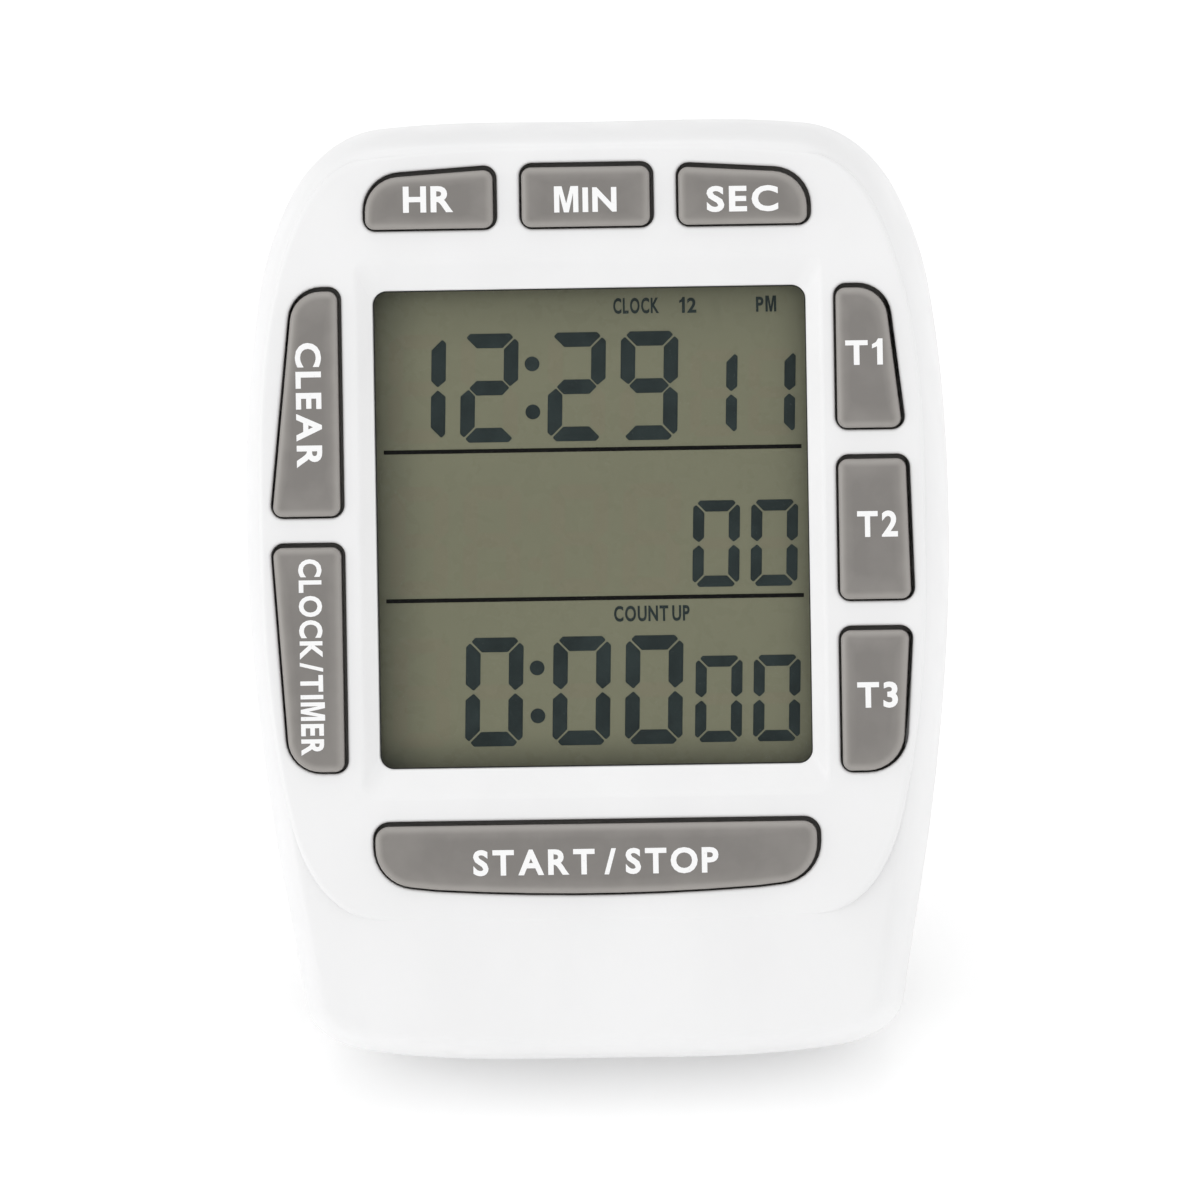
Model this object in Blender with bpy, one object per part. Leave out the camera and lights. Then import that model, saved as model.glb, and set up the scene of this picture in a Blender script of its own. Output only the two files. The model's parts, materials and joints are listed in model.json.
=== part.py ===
"""Three-channel lab timer: a moulded case, nine keys, a display, a battery bay and a fold-out stand.

Every piece is modelled in the case's own frame and hangs on one empty that leans the case back onto
its stand. In the case frame X runs to the right across the face, Z runs up the face, and Y runs
through the case from the face (negative) to the back (positive). Y = 0 is the parting plane.
"""

import math

import bmesh
import bpy
from mathutils import Matrix, Vector

MM = 0.001

# Overall sizes
CASE_WIDTH = 66.0 * MM
CASE_HEIGHT = 88.0 * MM
BACK_Y = 13.0 * MM              # back plane of the rear cover
SKIRT_Y = -9.2 * MM             # front edge of the sloping skirt, where the pad stands
PAD_Y = -10.2 * MM              # front of the raised pad
HALF_WIDTH = CASE_WIDTH / 2
TOP_Z = CASE_HEIGHT / 2
BOTTOM_Z = -CASE_HEIGHT / 2
SPAN_STEPS = 3                  # straight pieces in each curved span of the case outline

# Walls and clearances
WALL = 1.8 * MM
FACE_WALL = 2.0 * MM
GAP = 0.3 * MM                  # between pieces that touch or seat
SEAM = 0.3 * MM                 # between the two case shells
EMBED = 0.4 * MM                # how far a boss or rib runs into the wall it grows from
PAST = 1.0 * MM                 # how far a cutter runs past what it cuts
STEP = 0.05 * MM                # rise of a nearly square step
LIP = 0.8 * MM                  # thickness of the rear cover's locating lip
LIP_RISE = 1.0 * MM
LIP_ROOT = 2.0 * MM             # depth at which the rear cover's wall thins behind the lip
LIP_SLOPE = 0.5 * MM
INNER_ROUND = 0.8 * MM          # rounding inside the rear cover's edge
CHIN_DROP = 2.5 * MM            # how far the chin falls back at the bottom edge
CHIN_STEPS = 4
PAD_EDGE = 0.35 * MM
BACK_ROUND = 2.8 * MM           # rounding of the rear cover's edge
BACK_DRAFT = 0.9 * MM           # how far the rear cover draws in before its rounding

# Display
WINDOW_WIDTH = 40.6 * MM
WINDOW_HEIGHT = 44.8 * MM
WINDOW_ROUND = 1.3 * MM
RECESS_SIDE = 1.45 * MM         # widths of the sloped walls round the window
RECESS_TOP = 2.7 * MM
RECESS_BOTTOM = 2.5 * MM
RECESS_DEPTH = 1.2 * MM
PANE_MARGIN = 0.75 * MM         # how far the window pane and the cell run past the window
PANE_THICK = 1.0 * MM
GLASS_THICK = 1.1 * MM
CELL_LEDGE = 2.8 * MM           # contact ledge at the cell's top and bottom
FRAME_WALL = 0.8 * MM
STRIP_WIDE = 1.8 * MM
REFLECTOR_THICK = 0.3 * MM

# Keys
ROW_KEY_HEIGHT = 6.2 * MM
ROW_TOP_MARGIN = 3.75 * MM      # case top to the top of the upper key row
ROW_TO_WINDOW = 5.6 * MM
ROW_KEY_WIDTH = 12.6 * MM
ROW_KEY_PITCH = 14.7 * MM
ROW_INNER_DROP = 0.1 * MM       # outer keys' top edge below the middle key's, at each end
ROW_OUTER_DROP = 0.9 * MM
ROW_OUTER_CORNER = 3.6 * MM
KEY_CORNER = 1.2 * MM
SIDE_KEY_CLEAR = 2.65 * MM      # window's side to the side keys
SIDE_KEY_MARGIN = 2.8 * MM      # side keys' widest point to the case's widest point
SIDE_KEYS_APART = 2.3 * MM
LEFT_KEYS_IN = 0.03             # share of their reach that the left keys start further out
LEFT_KEYS_RISE = 0.5 * MM       # left column's top above the window's top
LEFT_KEYS_BELOW = 0.3 * MM      # its foot below the window's foot
RIGHT_KEYS_RISE = 0.1 * MM
RIGHT_KEYS_BELOW = 0.9 * MM
START_KEY_WIDTH = 42.0 * MM
START_KEY_HEIGHT = 6.1 * MM     # at its ends
START_KEY_BULGE = 1.0 * MM      # how far its lower edge bows below its ends
START_BULGE_SHARE = 0.4         # share of its half-width that the flat of the bow covers
START_UPPER_CORNER = 1.6 * MM
START_LOWER_CORNER = 4.0 * MM
START_BOW_CORNER = 30.0 * MM
START_TO_WINDOW = 4.9 * MM
PAD_BELOW_START = 3.6 * MM
KEY_GAP = 0.3 * MM
KEY_PROUD = 0.7 * MM
KEY_EDGE = 0.45 * MM            # rounding of a key's front edge
KEY_TRAVEL = 0.8 * MM
KEY_FLANGE = 0.7 * MM           # how far a key's flange stands out from its body
FLANGE_THICK = 1.0 * MM
ARC_STEPS = 3                   # straight pieces in each rounded corner

# Board and keypad
BOARD_FRONT_Y = -1.65 * MM
BOARD_THICK = 1.2 * MM
BOARD_INSET = 3.4 * MM
BOARD_BELOW_PAD = 0.6 * MM
SHEET_THICK = 1.0 * MM
SHEET_INSET = 2.5 * MM
DOME_ROUND = 2.4 * MM
DOME_TIP = 1.7 * MM
DOME_WALL = 0.7 * MM

# Screws and bosses
CASE_SCREW_ROUND = 1.0 * MM     # shank radius
CASE_HEAD_ROUND = 1.9 * MM
HEAD_THICK = 1.3 * MM
CASE_BOSS_ROUND = 2.2 * MM
WELL_WALL = 0.7 * MM
WELL_FLOOR = 2.4 * MM           # plastic between the parting plane and a case screw's head
UPPER_SCREW_IN = 8.6 * MM       # from the case's side
UPPER_SCREW_DOWN = 11.7 * MM    # from the case's top
LOWER_SCREW_IN = 10.5 * MM
LOWER_SCREW_UP = 8.0 * MM       # from the case's bottom
BOARD_SCREW_ROUND = 0.7 * MM
BOARD_HEAD_ROUND = 1.6 * MM
BOARD_HEAD_THICK = 0.9 * MM
BOARD_BOSS_ROUND = 1.8 * MM
BOARD_SCREW_IN = 8.0 * MM
BOARD_SCREW_DOWN = 3.4 * MM     # below the lower side keys
SCREW_DEPTH = 3.6 * MM          # how far a shank runs into its boss

# Battery bay and door
BATTERY_ROUND = 5.25 * MM
BATTERY_LENGTH = 44.5 * MM
NUB_ROUND = 1.9 * MM
NUB_LENGTH = 0.8 * MM
BAY_CLEAR = 0.4 * MM            # round the battery
BAY_WALL = 1.2 * MM
BAY_FLOOR = 0.8 * MM
DOOR_SEAT_WALL = 0.8 * MM       # bay wall outside the door's seat
SPRING_ROOM = 4.8 * MM
SPRING_WIRE = 0.3 * MM
SPRING_TURNS = 3.5
SPRING_WIDE = 3.4 * MM          # radius of the coil at the contact and at the cell
SPRING_NARROW = 2.0 * MM
CONTACT_THICK = 0.3 * MM
CONTACT_SIDE = 8.6 * MM
BUMP_HIGH = 0.6 * MM
CELL_EDGE = 0.6 * MM            # rounding of the battery's ends
TAB_RISE = 0.7 * MM             # slot of a solder tab above the bay's floor
TAB_WIDE = 3.0 * MM
TAB_OUT = 1.2 * MM              # how far a solder tab stands out of the bay's end wall
BAY_DOWN = 30.0 * MM            # battery axis below the case top
DOOR_THICK = 1.4 * MM
DOOR_LAP = 0.85 * MM            # how far the door laps the bay at top and bottom
DOOR_EDGE = 0.3 * MM
DOOR_PIVOT_ROUND = 0.9 * MM
DOOR_PIN_ROUND = 0.45 * MM
DOOR_PIN_OUT = 1.0 * MM
DOOR_SHORTER = 4.0 * MM         # the door is this much shorter than the bay

# Stand
STAND_WIDTH = 30.0 * MM
STAND_TAPER = 0.13              # share of its width that the stand loses from pivot to foot
STAND_THICK = 2.4 * MM
STAND_LENGTH = 30.5 * MM        # pivot to the centre of the foot
STAND_OPEN = math.radians(38.0)
STAND_SUNK = 0.3 * MM           # folded stand below the back plane
STAND_SOLE = 0.9 * MM           # foot centre to its flat sole
STAND_BELOW_BAY = 15.3 * MM     # pivot below the battery bay
STAND_FOOT_ROOM = 0.5 * MM      # pocket below the folded foot
STAND_PIN_ROUND = 0.9 * MM
STAND_PIN_OUT = 1.3 * MM
POCKET_WALL = 1.2 * MM
POCKET_SINK = 0.8 * MM          # room under the folded stand
THUMB_ROUND = 5.0 * MM
THUMB_RISE = 1.5 * MM           # centre of the thumb notch above the pocket's foot
THUMB_DEPTH = 1.2 * MM

# Magnets and sounder
MAGNET_ROUND = 4.5 * MM
MAGNET_THICK = 1.8 * MM
MAGNET_PROUD = 0.2 * MM
MAGNET_EDGE = 0.2 * MM
MAGNET_SPREAD = 15.6 * MM
SOUNDER_ROUND = 8.0 * MM
SOUNDER_THICK = 0.3 * MM
SOUNDER_DOWN = 12.4 * MM        # below the case top
SOUNDER_STEP = 0.9 * MM         # air in front of the disc
CERAMIC_ROUND = 5.5 * MM
SOUND_HOLE = 0.7 * MM
SOUND_HOLE_PITCH = 2.6 * MM
LEAD_ROUND = 0.45 * MM
LEAD_BOW = 0.45                 # share of its span that a lead runs straight on from its end
CAP_ROUND = 6.0 * MM            # epoxy cap of the controller
CAP_THICK = 1.4 * MM
CAP_BELOW_BAY = 8.0 * MM
CRYSTAL_ROUND = 1.0 * MM
CRYSTAL_LENGTH = 6.2 * MM
CRYSTAL_ACROSS = 10.0 * MM      # crystal's near end from the middle
PIVOT_GAP = 0.15 * MM

# Places that follow from the sizes above
ROW_TOP = TOP_Z - ROW_TOP_MARGIN
ROW_BOTTOM = ROW_TOP - ROW_KEY_HEIGHT
WINDOW_TOP = ROW_BOTTOM - ROW_TO_WINDOW
WINDOW_BOTTOM = WINDOW_TOP - WINDOW_HEIGHT
START_TOP = WINDOW_BOTTOM - START_TO_WINDOW
START_BOTTOM = START_TOP - START_KEY_HEIGHT
PAD_BOTTOM = START_BOTTOM - PAD_BELOW_START
SIDE_KEY_IN = WINDOW_WIDTH / 2 + SIDE_KEY_CLEAR
SIDE_KEY_OUT = HALF_WIDTH - SIDE_KEY_MARGIN
SIDE_KEYS_FOOT = WINDOW_BOTTOM - max(LEFT_KEYS_BELOW, RIGHT_KEYS_BELOW)
INNER_FACE_Y = PAD_Y + FACE_WALL
WINDOW_Y = PAD_Y + RECESS_DEPTH
PANE_Y = INNER_FACE_Y + GAP
CELL_Y = PANE_Y + PANE_THICK + GAP
FLANGE_Y = INNER_FACE_Y + GAP
SHEET_Y = BOARD_FRONT_Y - GAP - SHEET_THICK
BOARD_BACK_Y = BOARD_FRONT_Y + BOARD_THICK
BAY_MID = TOP_Z - BAY_DOWN
BAY_FLOOR_Y = BOARD_BACK_Y + GAP
TAB_Y = BAY_FLOOR_Y + BAY_FLOOR + TAB_RISE + GAP
BATTERY_Y = BAY_FLOOR_Y + BAY_FLOOR + GAP + BATTERY_ROUND
BAY_HALF_HEIGHT = BATTERY_ROUND + BAY_CLEAR
BAY_HALF_LENGTH = (BATTERY_LENGTH + SPRING_ROOM + 4 * CONTACT_THICK + BUMP_HIGH + GAP) / 2
BATTERY_X = BAY_HALF_LENGTH - 2 * GAP - CONTACT_THICK - BUMP_HIGH - BATTERY_LENGTH / 2
BAY_OUTSIDE = BAY_HALF_HEIGHT + DOOR_LAP + GAP + DOOR_SEAT_WALL
DOOR_HALF_HEIGHT = BAY_HALF_HEIGHT + DOOR_LAP
DOOR_HALF_LENGTH = BAY_HALF_LENGTH - DOOR_SHORTER / 2
DOOR_INNER_Y = BACK_Y - DOOR_THICK
DOOR_PIVOT_Y = BACK_Y - DOOR_PIVOT_ROUND
DOOR_PIVOT_Z = BAY_MID - DOOR_HALF_HEIGHT + DOOR_PIVOT_ROUND
STAND_Y = BACK_Y - STAND_SUNK - STAND_THICK / 2
STAND_Z = BAY_MID - BAY_OUTSIDE - STAND_BELOW_BAY + STAND_PIN_ROUND
STAND_HALF = STAND_THICK / 2
POCKET_FLOOR_Y = STAND_Y - STAND_HALF - POCKET_SINK
STAND_HEEL = (
    (STAND_Y - POCKET_FLOOR_Y - GAP - STAND_HALF * math.cos(STAND_OPEN)) / math.sin(STAND_OPEN)
)
POCKET_TOP = STAND_Z + math.hypot(STAND_HALF, STAND_HEEL) + GAP
POCKET_BOTTOM = STAND_Z - STAND_LENGTH - STAND_HALF - STAND_FOOT_ROOM
POCKET_HALF = STAND_WIDTH / 2 + GAP
SOUNDER_Z = TOP_Z - SOUNDER_DOWN
SOUNDER_Y = BACK_Y - WALL - SOUNDER_STEP - SOUNDER_THICK
BACK_RINGS = [(SEAM, 0.0), (6.0 * MM, 0.35 * MM), (BACK_Y - BACK_ROUND, BACK_DRAFT)] + [
    (
        BACK_Y - BACK_ROUND * (1 - math.sin(math.radians(turn))),
        BACK_DRAFT + BACK_ROUND * (1 - math.cos(math.radians(turn))),
    )
    for turn in (30, 60, 90)
]
FRONT_RINGS = [
    (0.0, 0.0),
    (-3.0 * MM, 0.15 * MM),
    (-6.0 * MM, 0.6 * MM),
    (-8.0 * MM, 1.15 * MM),
    (SKIRT_Y, 1.75 * MM),
]
CASE_SCREWS = [
    (side * (HALF_WIDTH - inward), z)
    for inward, z in (
        (UPPER_SCREW_IN, TOP_Z - UPPER_SCREW_DOWN),
        (LOWER_SCREW_IN, BOTTOM_Z + LOWER_SCREW_UP),
    )
    for side in (-1, 1)
]


# ---------------------------------------------------------------- outlines


def mirrored(right_half):
    """A closed outline from its right half, which runs from top centre to bottom centre."""
    return right_half + [(-x, z) for x, z in reversed(right_half[1:-1])]


def smooth_half(anchors):
    """Points along smooth spans through anchors of (x, z, heading in degrees)."""
    points = [anchors[0][:2]]
    for (x0, z0, turn0), (x1, z1, turn1) in zip(anchors, anchors[1:]):
        chord = math.hypot(x1 - x0, z1 - z0)
        reach = chord / (3 * math.cos(math.radians(turn1 - turn0) / 4) ** 2)
        heading0 = Vector((math.cos(math.radians(turn0)), math.sin(math.radians(turn0))))
        heading1 = Vector((math.cos(math.radians(turn1)), math.sin(math.radians(turn1))))
        start = Vector((x0, z0))
        end = Vector((x1, z1))
        for step in range(1, SPAN_STEPS + 1):
            t = step / SPAN_STEPS
            point = (
                start * (1 - t) ** 3
                + (start + heading0 * reach) * 3 * t * (1 - t) ** 2
                + (end - heading1 * reach) * 3 * t * t * (1 - t)
                + end * t**3
            )
            points.append((point.x, point.y))
    return points


def case_outline():
    """The case's silhouette, widest a little above its middle."""
    return mirrored(
        smooth_half(
            [
                (0.0, TOP_Z, 0.0),
                (HALF_WIDTH - 13.0 * MM, TOP_Z - 0.4 * MM, -6.0),
                (HALF_WIDTH - 4.4 * MM, TOP_Z - 7.2 * MM, -64.0),
                (HALF_WIDTH - 1.6 * MM, TOP_Z - 15.7 * MM, -80.5),
                (HALF_WIDTH, TOP_Z - 38.0 * MM, -90.0),
                (HALF_WIDTH - 2.1 * MM, BOTTOM_Z + 22.5 * MM, -98.0),
                (HALF_WIDTH - 4.9 * MM, BOTTOM_Z + 5.5 * MM, -98.0),
                (HALF_WIDTH - 11.0 * MM, BOTTOM_Z + 0.95 * MM, -171.0),
                (0.0, BOTTOM_Z, -180.0),
            ]
        )
    )


def pad_outline():
    """The raised pad's edge, which follows the case and closes below the start key."""
    return mirrored(
        smooth_half(
            [
                (0.0, TOP_Z - 2.1 * MM, 0.0),
                (HALF_WIDTH - 12.1 * MM, TOP_Z - 3.1 * MM, -9.0),
                (HALF_WIDTH - 5.3 * MM, TOP_Z - 9.9 * MM, -68.0),
                (HALF_WIDTH - 1.8 * MM, TOP_Z - 41.0 * MM, -90.0),
                (HALF_WIDTH - 4.3 * MM, PAD_BOTTOM + 9.8 * MM, -103.0),
                (HALF_WIDTH - 12.0 * MM, PAD_BOTTOM + 0.5 * MM, -173.0),
                (0.0, PAD_BOTTOM, -180.0),
            ]
        )
    )


def rounded(corners, steps=ARC_STEPS):
    """A clockwise outline through corners of (x, z, radius)."""
    points = []
    for index, (x, z, radius) in enumerate(corners):
        corner = Vector((x, z))
        before = (Vector(corners[index - 1][:2]) - corner).normalized()
        after = (Vector(corners[(index + 1) % len(corners)][:2]) - corner).normalized()
        half = before.angle(after) / 2
        centre = corner + (before + after).normalized() * radius / math.sin(half)
        first = corner + before * radius / math.tan(half) - centre
        sweep = math.pi - 2 * half
        for step in range(steps + 1):
            arm = first.copy()
            arm.rotate(Matrix.Rotation(-sweep * step / steps, 2))
            points.append(tuple(centre + arm))
    return points


def slab(x0, x1, z0, z1, radius):
    """A clockwise rounded rectangle."""
    return rounded([(x0, z1, radius), (x1, z1, radius), (x1, z0, radius), (x0, z0, radius)])


def disc(x, z, radius, count=16):
    """A clockwise circle."""
    return [
        (
            x + radius * math.sin(2 * math.pi * step / count),
            z + radius * math.cos(2 * math.pi * step / count),
        )
        for step in range(count)
    ]


def normals(outline):
    """The outward direction at each point of a clockwise outline."""
    result = []
    for index in range(len(outline)):
        before = Vector(outline[index]) - Vector(outline[index - 1])
        after = Vector(outline[(index + 1) % len(outline)]) - Vector(outline[index])
        along = (before.normalized() + after.normalized()).normalized()
        result.append(Vector((-along.y, along.x)))
    return result


def grown(outline, amount, closed_side=0):
    """An outline moved outwards by amount, except towards closed_side (-1 or 1 along X)."""
    points = []
    for (x, z), outward in zip(outline, normals(outline)):
        across = 0.0 if closed_side * outward.x > 0 else outward.x
        points.append((x + amount * across, z + amount * outward.y))
    return points


def above(outline, limit):
    """An outline with nothing lower than limit."""
    return [(x, max(z, limit)) for x, z in outline]


def ring(outline, y):
    """An outline as points at one depth."""
    return [(x, y, z) for x, z in outline]


# ---------------------------------------------------------------- meshes and objects


def loft(rings):
    """A closed solid through rings that have the same number of points."""
    mesh = bmesh.new()
    loops = []
    for points in rings:
        corners = [mesh.verts.new(point) for point in points]
        loops.append(
            [mesh.edges.new((corners[index - 1], corner)) for index, corner in enumerate(corners)]
        )
    for near, far in zip(loops, loops[1:]):
        bmesh.ops.bridge_loops(mesh, edges=near + far)
    for edges in (loops[0], loops[-1]):
        bmesh.ops.contextual_create(mesh, geom=edges)
    bmesh.ops.recalc_face_normals(mesh, faces=mesh.faces)
    return mesh


def prism(outline, y0, y1):
    """A closed straight solid between two depths."""
    return loft([ring(outline, y0), ring(outline, y1)])


def box(x0, x1, y0, y1, z0, z1):
    """A closed box."""
    mesh = bmesh.new()
    bmesh.ops.create_cube(
        mesh,
        size=1.0,
        matrix=Matrix.Translation(((x0 + x1) / 2, (y0 + y1) / 2, (z0 + z1) / 2))
        @ Matrix.Diagonal((x1 - x0, y1 - y0, z1 - z0, 1.0)),
    )
    return mesh


def turned(profile, count=20):
    """A solid turned about the X axis from a profile of (x, radius) that starts and ends at 0."""
    rings = [
        [
            (
                x,
                radius * math.cos(2 * math.pi * step / count),
                radius * math.sin(2 * math.pi * step / count),
            )
            for step in range(count)
        ]
        for x, radius in profile
    ]
    return loft(rings)


def gathered(meshes):
    """One mesh that holds several separate ones."""
    whole = bmesh.new()
    for mesh in meshes:
        piece = bpy.data.meshes.new("piece")
        mesh.to_mesh(piece)
        mesh.free()
        whole.from_mesh(piece)
        bpy.data.meshes.remove(piece)
    return whole


def material(name, colour, roughness, metallic=0.0, alpha=1.0):
    """A plain Principled material."""
    made = bpy.data.materials.new(name)
    made.use_nodes = True
    shader = made.node_tree.nodes["Principled BSDF"]
    shader.inputs["Base Color"].default_value = (*colour, 1.0)
    shader.inputs["Roughness"].default_value = roughness
    shader.inputs["Metallic"].default_value = metallic
    shader.inputs["Alpha"].default_value = alpha
    return made


def part(name, mesh, finish, lean, origin=(0.0, 0.0, 0.0)):
    """A named object under the lean empty, with its own origin."""
    data = bpy.data.meshes.new(name)
    bmesh.ops.translate(mesh, verts=mesh.verts, vec=-Vector(origin))
    mesh.to_mesh(data)
    mesh.free()
    data.materials.append(finish)
    made = bpy.data.objects.new(name, data)
    bpy.context.scene.collection.objects.link(made)
    made.parent = lean
    made.location = origin
    return made


def smooth(made, angle=40.0):
    """Round shading, with edges sharper than angle kept crisp."""
    made.data.shade_smooth()
    made.data.set_sharp_from_angle(angle=math.radians(angle))


def shape(target, label, mesh, operation):
    """Adds or removes a mesh with an exact Boolean whose operand stays as a hidden guide."""
    data = bpy.data.meshes.new(f"{target.name}_{label}")
    bmesh.ops.translate(mesh, verts=mesh.verts, vec=-target.location)
    mesh.to_mesh(data)
    mesh.free()
    guide = bpy.data.objects.new(f"{target.name}_{label}", data)
    bpy.context.scene.collection.objects.link(guide)
    guide.parent = target.parent
    guide.location = target.location
    guide.hide_render = True
    guide.display_type = "WIRE"
    step = target.modifiers.new(label, "BOOLEAN")
    step.operation = operation
    step.solver = "EXACT"
    step.object = guide


def add(target, label, mesh):
    """Unites a mesh with the target."""
    shape(target, label, mesh, "UNION")


def cut(target, label, mesh):
    """Removes a mesh from the target."""
    shape(target, label, mesh, "DIFFERENCE")


# ---------------------------------------------------------------- keys


def row_key_outline(side):
    """A key of the upper row; side is -1, 0 or 1, and the outer ones round off at the top."""
    middle = side * ROW_KEY_PITCH
    half = ROW_KEY_WIDTH / 2
    if side == 0:
        return slab(-half, half, ROW_BOTTOM, ROW_TOP, KEY_CORNER)
    corners = [
        (half, ROW_TOP - ROW_OUTER_DROP, ROW_OUTER_CORNER),
        (half, ROW_BOTTOM, KEY_CORNER),
        (-half, ROW_BOTTOM, KEY_CORNER),
        (-half, ROW_TOP - ROW_INNER_DROP, KEY_CORNER),
    ]
    if side < 0:
        corners = [(-x, z, radius) for x, z, radius in reversed(corners)]
    return rounded([(x + middle, z, radius) for x, z, radius in corners])


def side_keys(side, inner, rise, below, caps):
    """One column of side keys from (name, share and radius of the upper and lower outer corners).

    Returns each key's outline, its closed side and the centres of its domes, by name.
    """
    reach = SIDE_KEY_OUT - SIDE_KEY_IN
    middle = side * (SIDE_KEY_IN + SIDE_KEY_OUT) / 2
    gaps = len(caps) - 1
    height = (WINDOW_HEIGHT + rise + below - gaps * SIDE_KEYS_APART) / len(caps)
    keys = {}
    for index, (name, upper, upper_round, lower, lower_round, domes) in enumerate(caps):
        high = WINDOW_TOP + rise - index * (height + SIDE_KEYS_APART)
        low = high - height
        corners = [
            (inner, high, KEY_CORNER),
            (upper, high, upper_round),
            (lower, low, lower_round),
            (inner, low, KEY_CORNER),
        ]
        placed = [(SIDE_KEY_IN + share * reach, z, radius) for share, z, radius in corners]
        if side < 0:
            placed = [(-x, z, radius) for x, z, radius in reversed(placed)]
        centres = [
            (middle, high - height * (2 * dome + 1) / (2 * domes)) for dome in range(domes)
        ]
        keys[name] = (rounded(placed), side, centres)
    return keys


def start_key_outline():
    """The long key, whose lower edge bows down between two large corners."""
    half = START_KEY_WIDTH / 2
    return rounded(
        [
            (-half, START_TOP, START_UPPER_CORNER),
            (half, START_TOP, START_UPPER_CORNER),
            (half, START_BOTTOM, START_LOWER_CORNER),
            (half * START_BULGE_SHARE, START_BOTTOM - START_KEY_BULGE, START_BOW_CORNER),
            (-half * START_BULGE_SHARE, START_BOTTOM - START_KEY_BULGE, START_BOW_CORNER),
            (-half, START_BOTTOM, START_LOWER_CORNER),
        ]
    )


def key_plan():
    """Each key's hole outline, its closed side and the centres of its domes, by name."""
    row_mid = (ROW_TOP + ROW_BOTTOM) / 2
    keys = {
        name: (row_key_outline(side), 0, [(side * ROW_KEY_PITCH, row_mid)])
        for name, side in (("hour_key", -1), ("minute_key", 0), ("second_key", 1))
    }
    keys |= side_keys(
        1,
        0.0,
        RIGHT_KEYS_RISE,
        RIGHT_KEYS_BELOW,
        [
            ("timer_1_key", 0.7, 3.2 * MM, 0.92, KEY_CORNER, 1),
            ("timer_2_key", 0.95, KEY_CORNER, 1.0, KEY_CORNER, 1),
            ("timer_3_key", 0.97, KEY_CORNER, 0.85, 3.8 * MM, 1),
        ],
    )
    keys |= side_keys(
        -1,
        LEFT_KEYS_IN,
        LEFT_KEYS_RISE,
        LEFT_KEYS_BELOW,
        [
            ("clear_key", 0.68, 3.2 * MM, 1.0, KEY_CORNER, 2),
            ("clock_timer_key", 1.0, KEY_CORNER, 0.81, 3.4 * MM, 2),
        ],
    )
    start_mid = (START_TOP + START_BOTTOM) / 2
    spread = START_KEY_WIDTH / 4
    keys["start_stop_key"] = (start_key_outline(), 0, [(-spread, start_mid), (spread, start_mid)])
    return keys


def build_key(name, outline, closed_side, finish, lean):
    """A key cap with a rounded front edge and a flange behind the face wall."""
    body = grown(outline, -KEY_GAP)
    front = PAD_Y - KEY_PROUD
    flange = grown(body, KEY_FLANGE, closed_side)
    mesh = loft(
        [
            ring(grown(body, -KEY_EDGE), front),
            ring(grown(body, -0.3 * KEY_EDGE), front + 0.3 * KEY_EDGE),
            ring(body, front + KEY_EDGE),
            ring(body, FLANGE_Y),
            ring(flange, FLANGE_Y + STEP),
            ring(flange, FLANGE_Y + FLANGE_THICK),
        ]
    )
    xs = [x for x, z in body]
    zs = [z for x, z in body]
    middle = ((min(xs) + max(xs)) / 2, front, (min(zs) + max(zs)) / 2)
    made = part(name, mesh, finish, lean, middle)
    smooth(made)
    return made


# ---------------------------------------------------------------- case


def chin_fall(z):
    """How far the face falls back at height z: nothing above the pad's lower edge."""
    share = max(0.0, (PAD_BOTTOM - z) / (PAD_BOTTOM - BOTTOM_Z))
    lower = math.floor(share * CHIN_STEPS) / CHIN_STEPS
    upper = lower + 1 / CHIN_STEPS
    between = (share - lower) * CHIN_STEPS
    return CHIN_DROP * (lower**2 * (1 - between) + upper**2 * between)


def drop_chin(mesh):
    """Slices the lower face across and lets it fall back towards the bottom edge."""
    for step in range(CHIN_STEPS):
        height = PAD_BOTTOM - (PAD_BOTTOM - BOTTOM_Z) * step / CHIN_STEPS
        bmesh.ops.bisect_plane(
            mesh,
            geom=mesh.verts[:] + mesh.edges[:] + mesh.faces[:],
            dist=1e-6,
            plane_co=(0.0, 0.0, height),
            plane_no=(0.0, 0.0, 1.0),
        )
    for vert in mesh.verts:
        forward = min(1.0, max(0.0, vert.co.y / SKIRT_Y))
        vert.co.y += chin_fall(vert.co.z) * forward
    return mesh


def window_outline(side=0.0, top=0.0, bottom=0.0, radius=WINDOW_ROUND):
    """The display window, grown by the given amounts."""
    half = WINDOW_WIDTH / 2 + side
    return slab(-half, half, WINDOW_BOTTOM - bottom, WINDOW_TOP + top, radius)


def board_screw_places():
    """The two board screws, beside the start key."""
    z = SIDE_KEYS_FOOT - BOARD_SCREW_DOWN - BOARD_BOSS_ROUND
    x = HALF_WIDTH - BOARD_SCREW_IN
    return [(-x, z), (x, z)]


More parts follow.
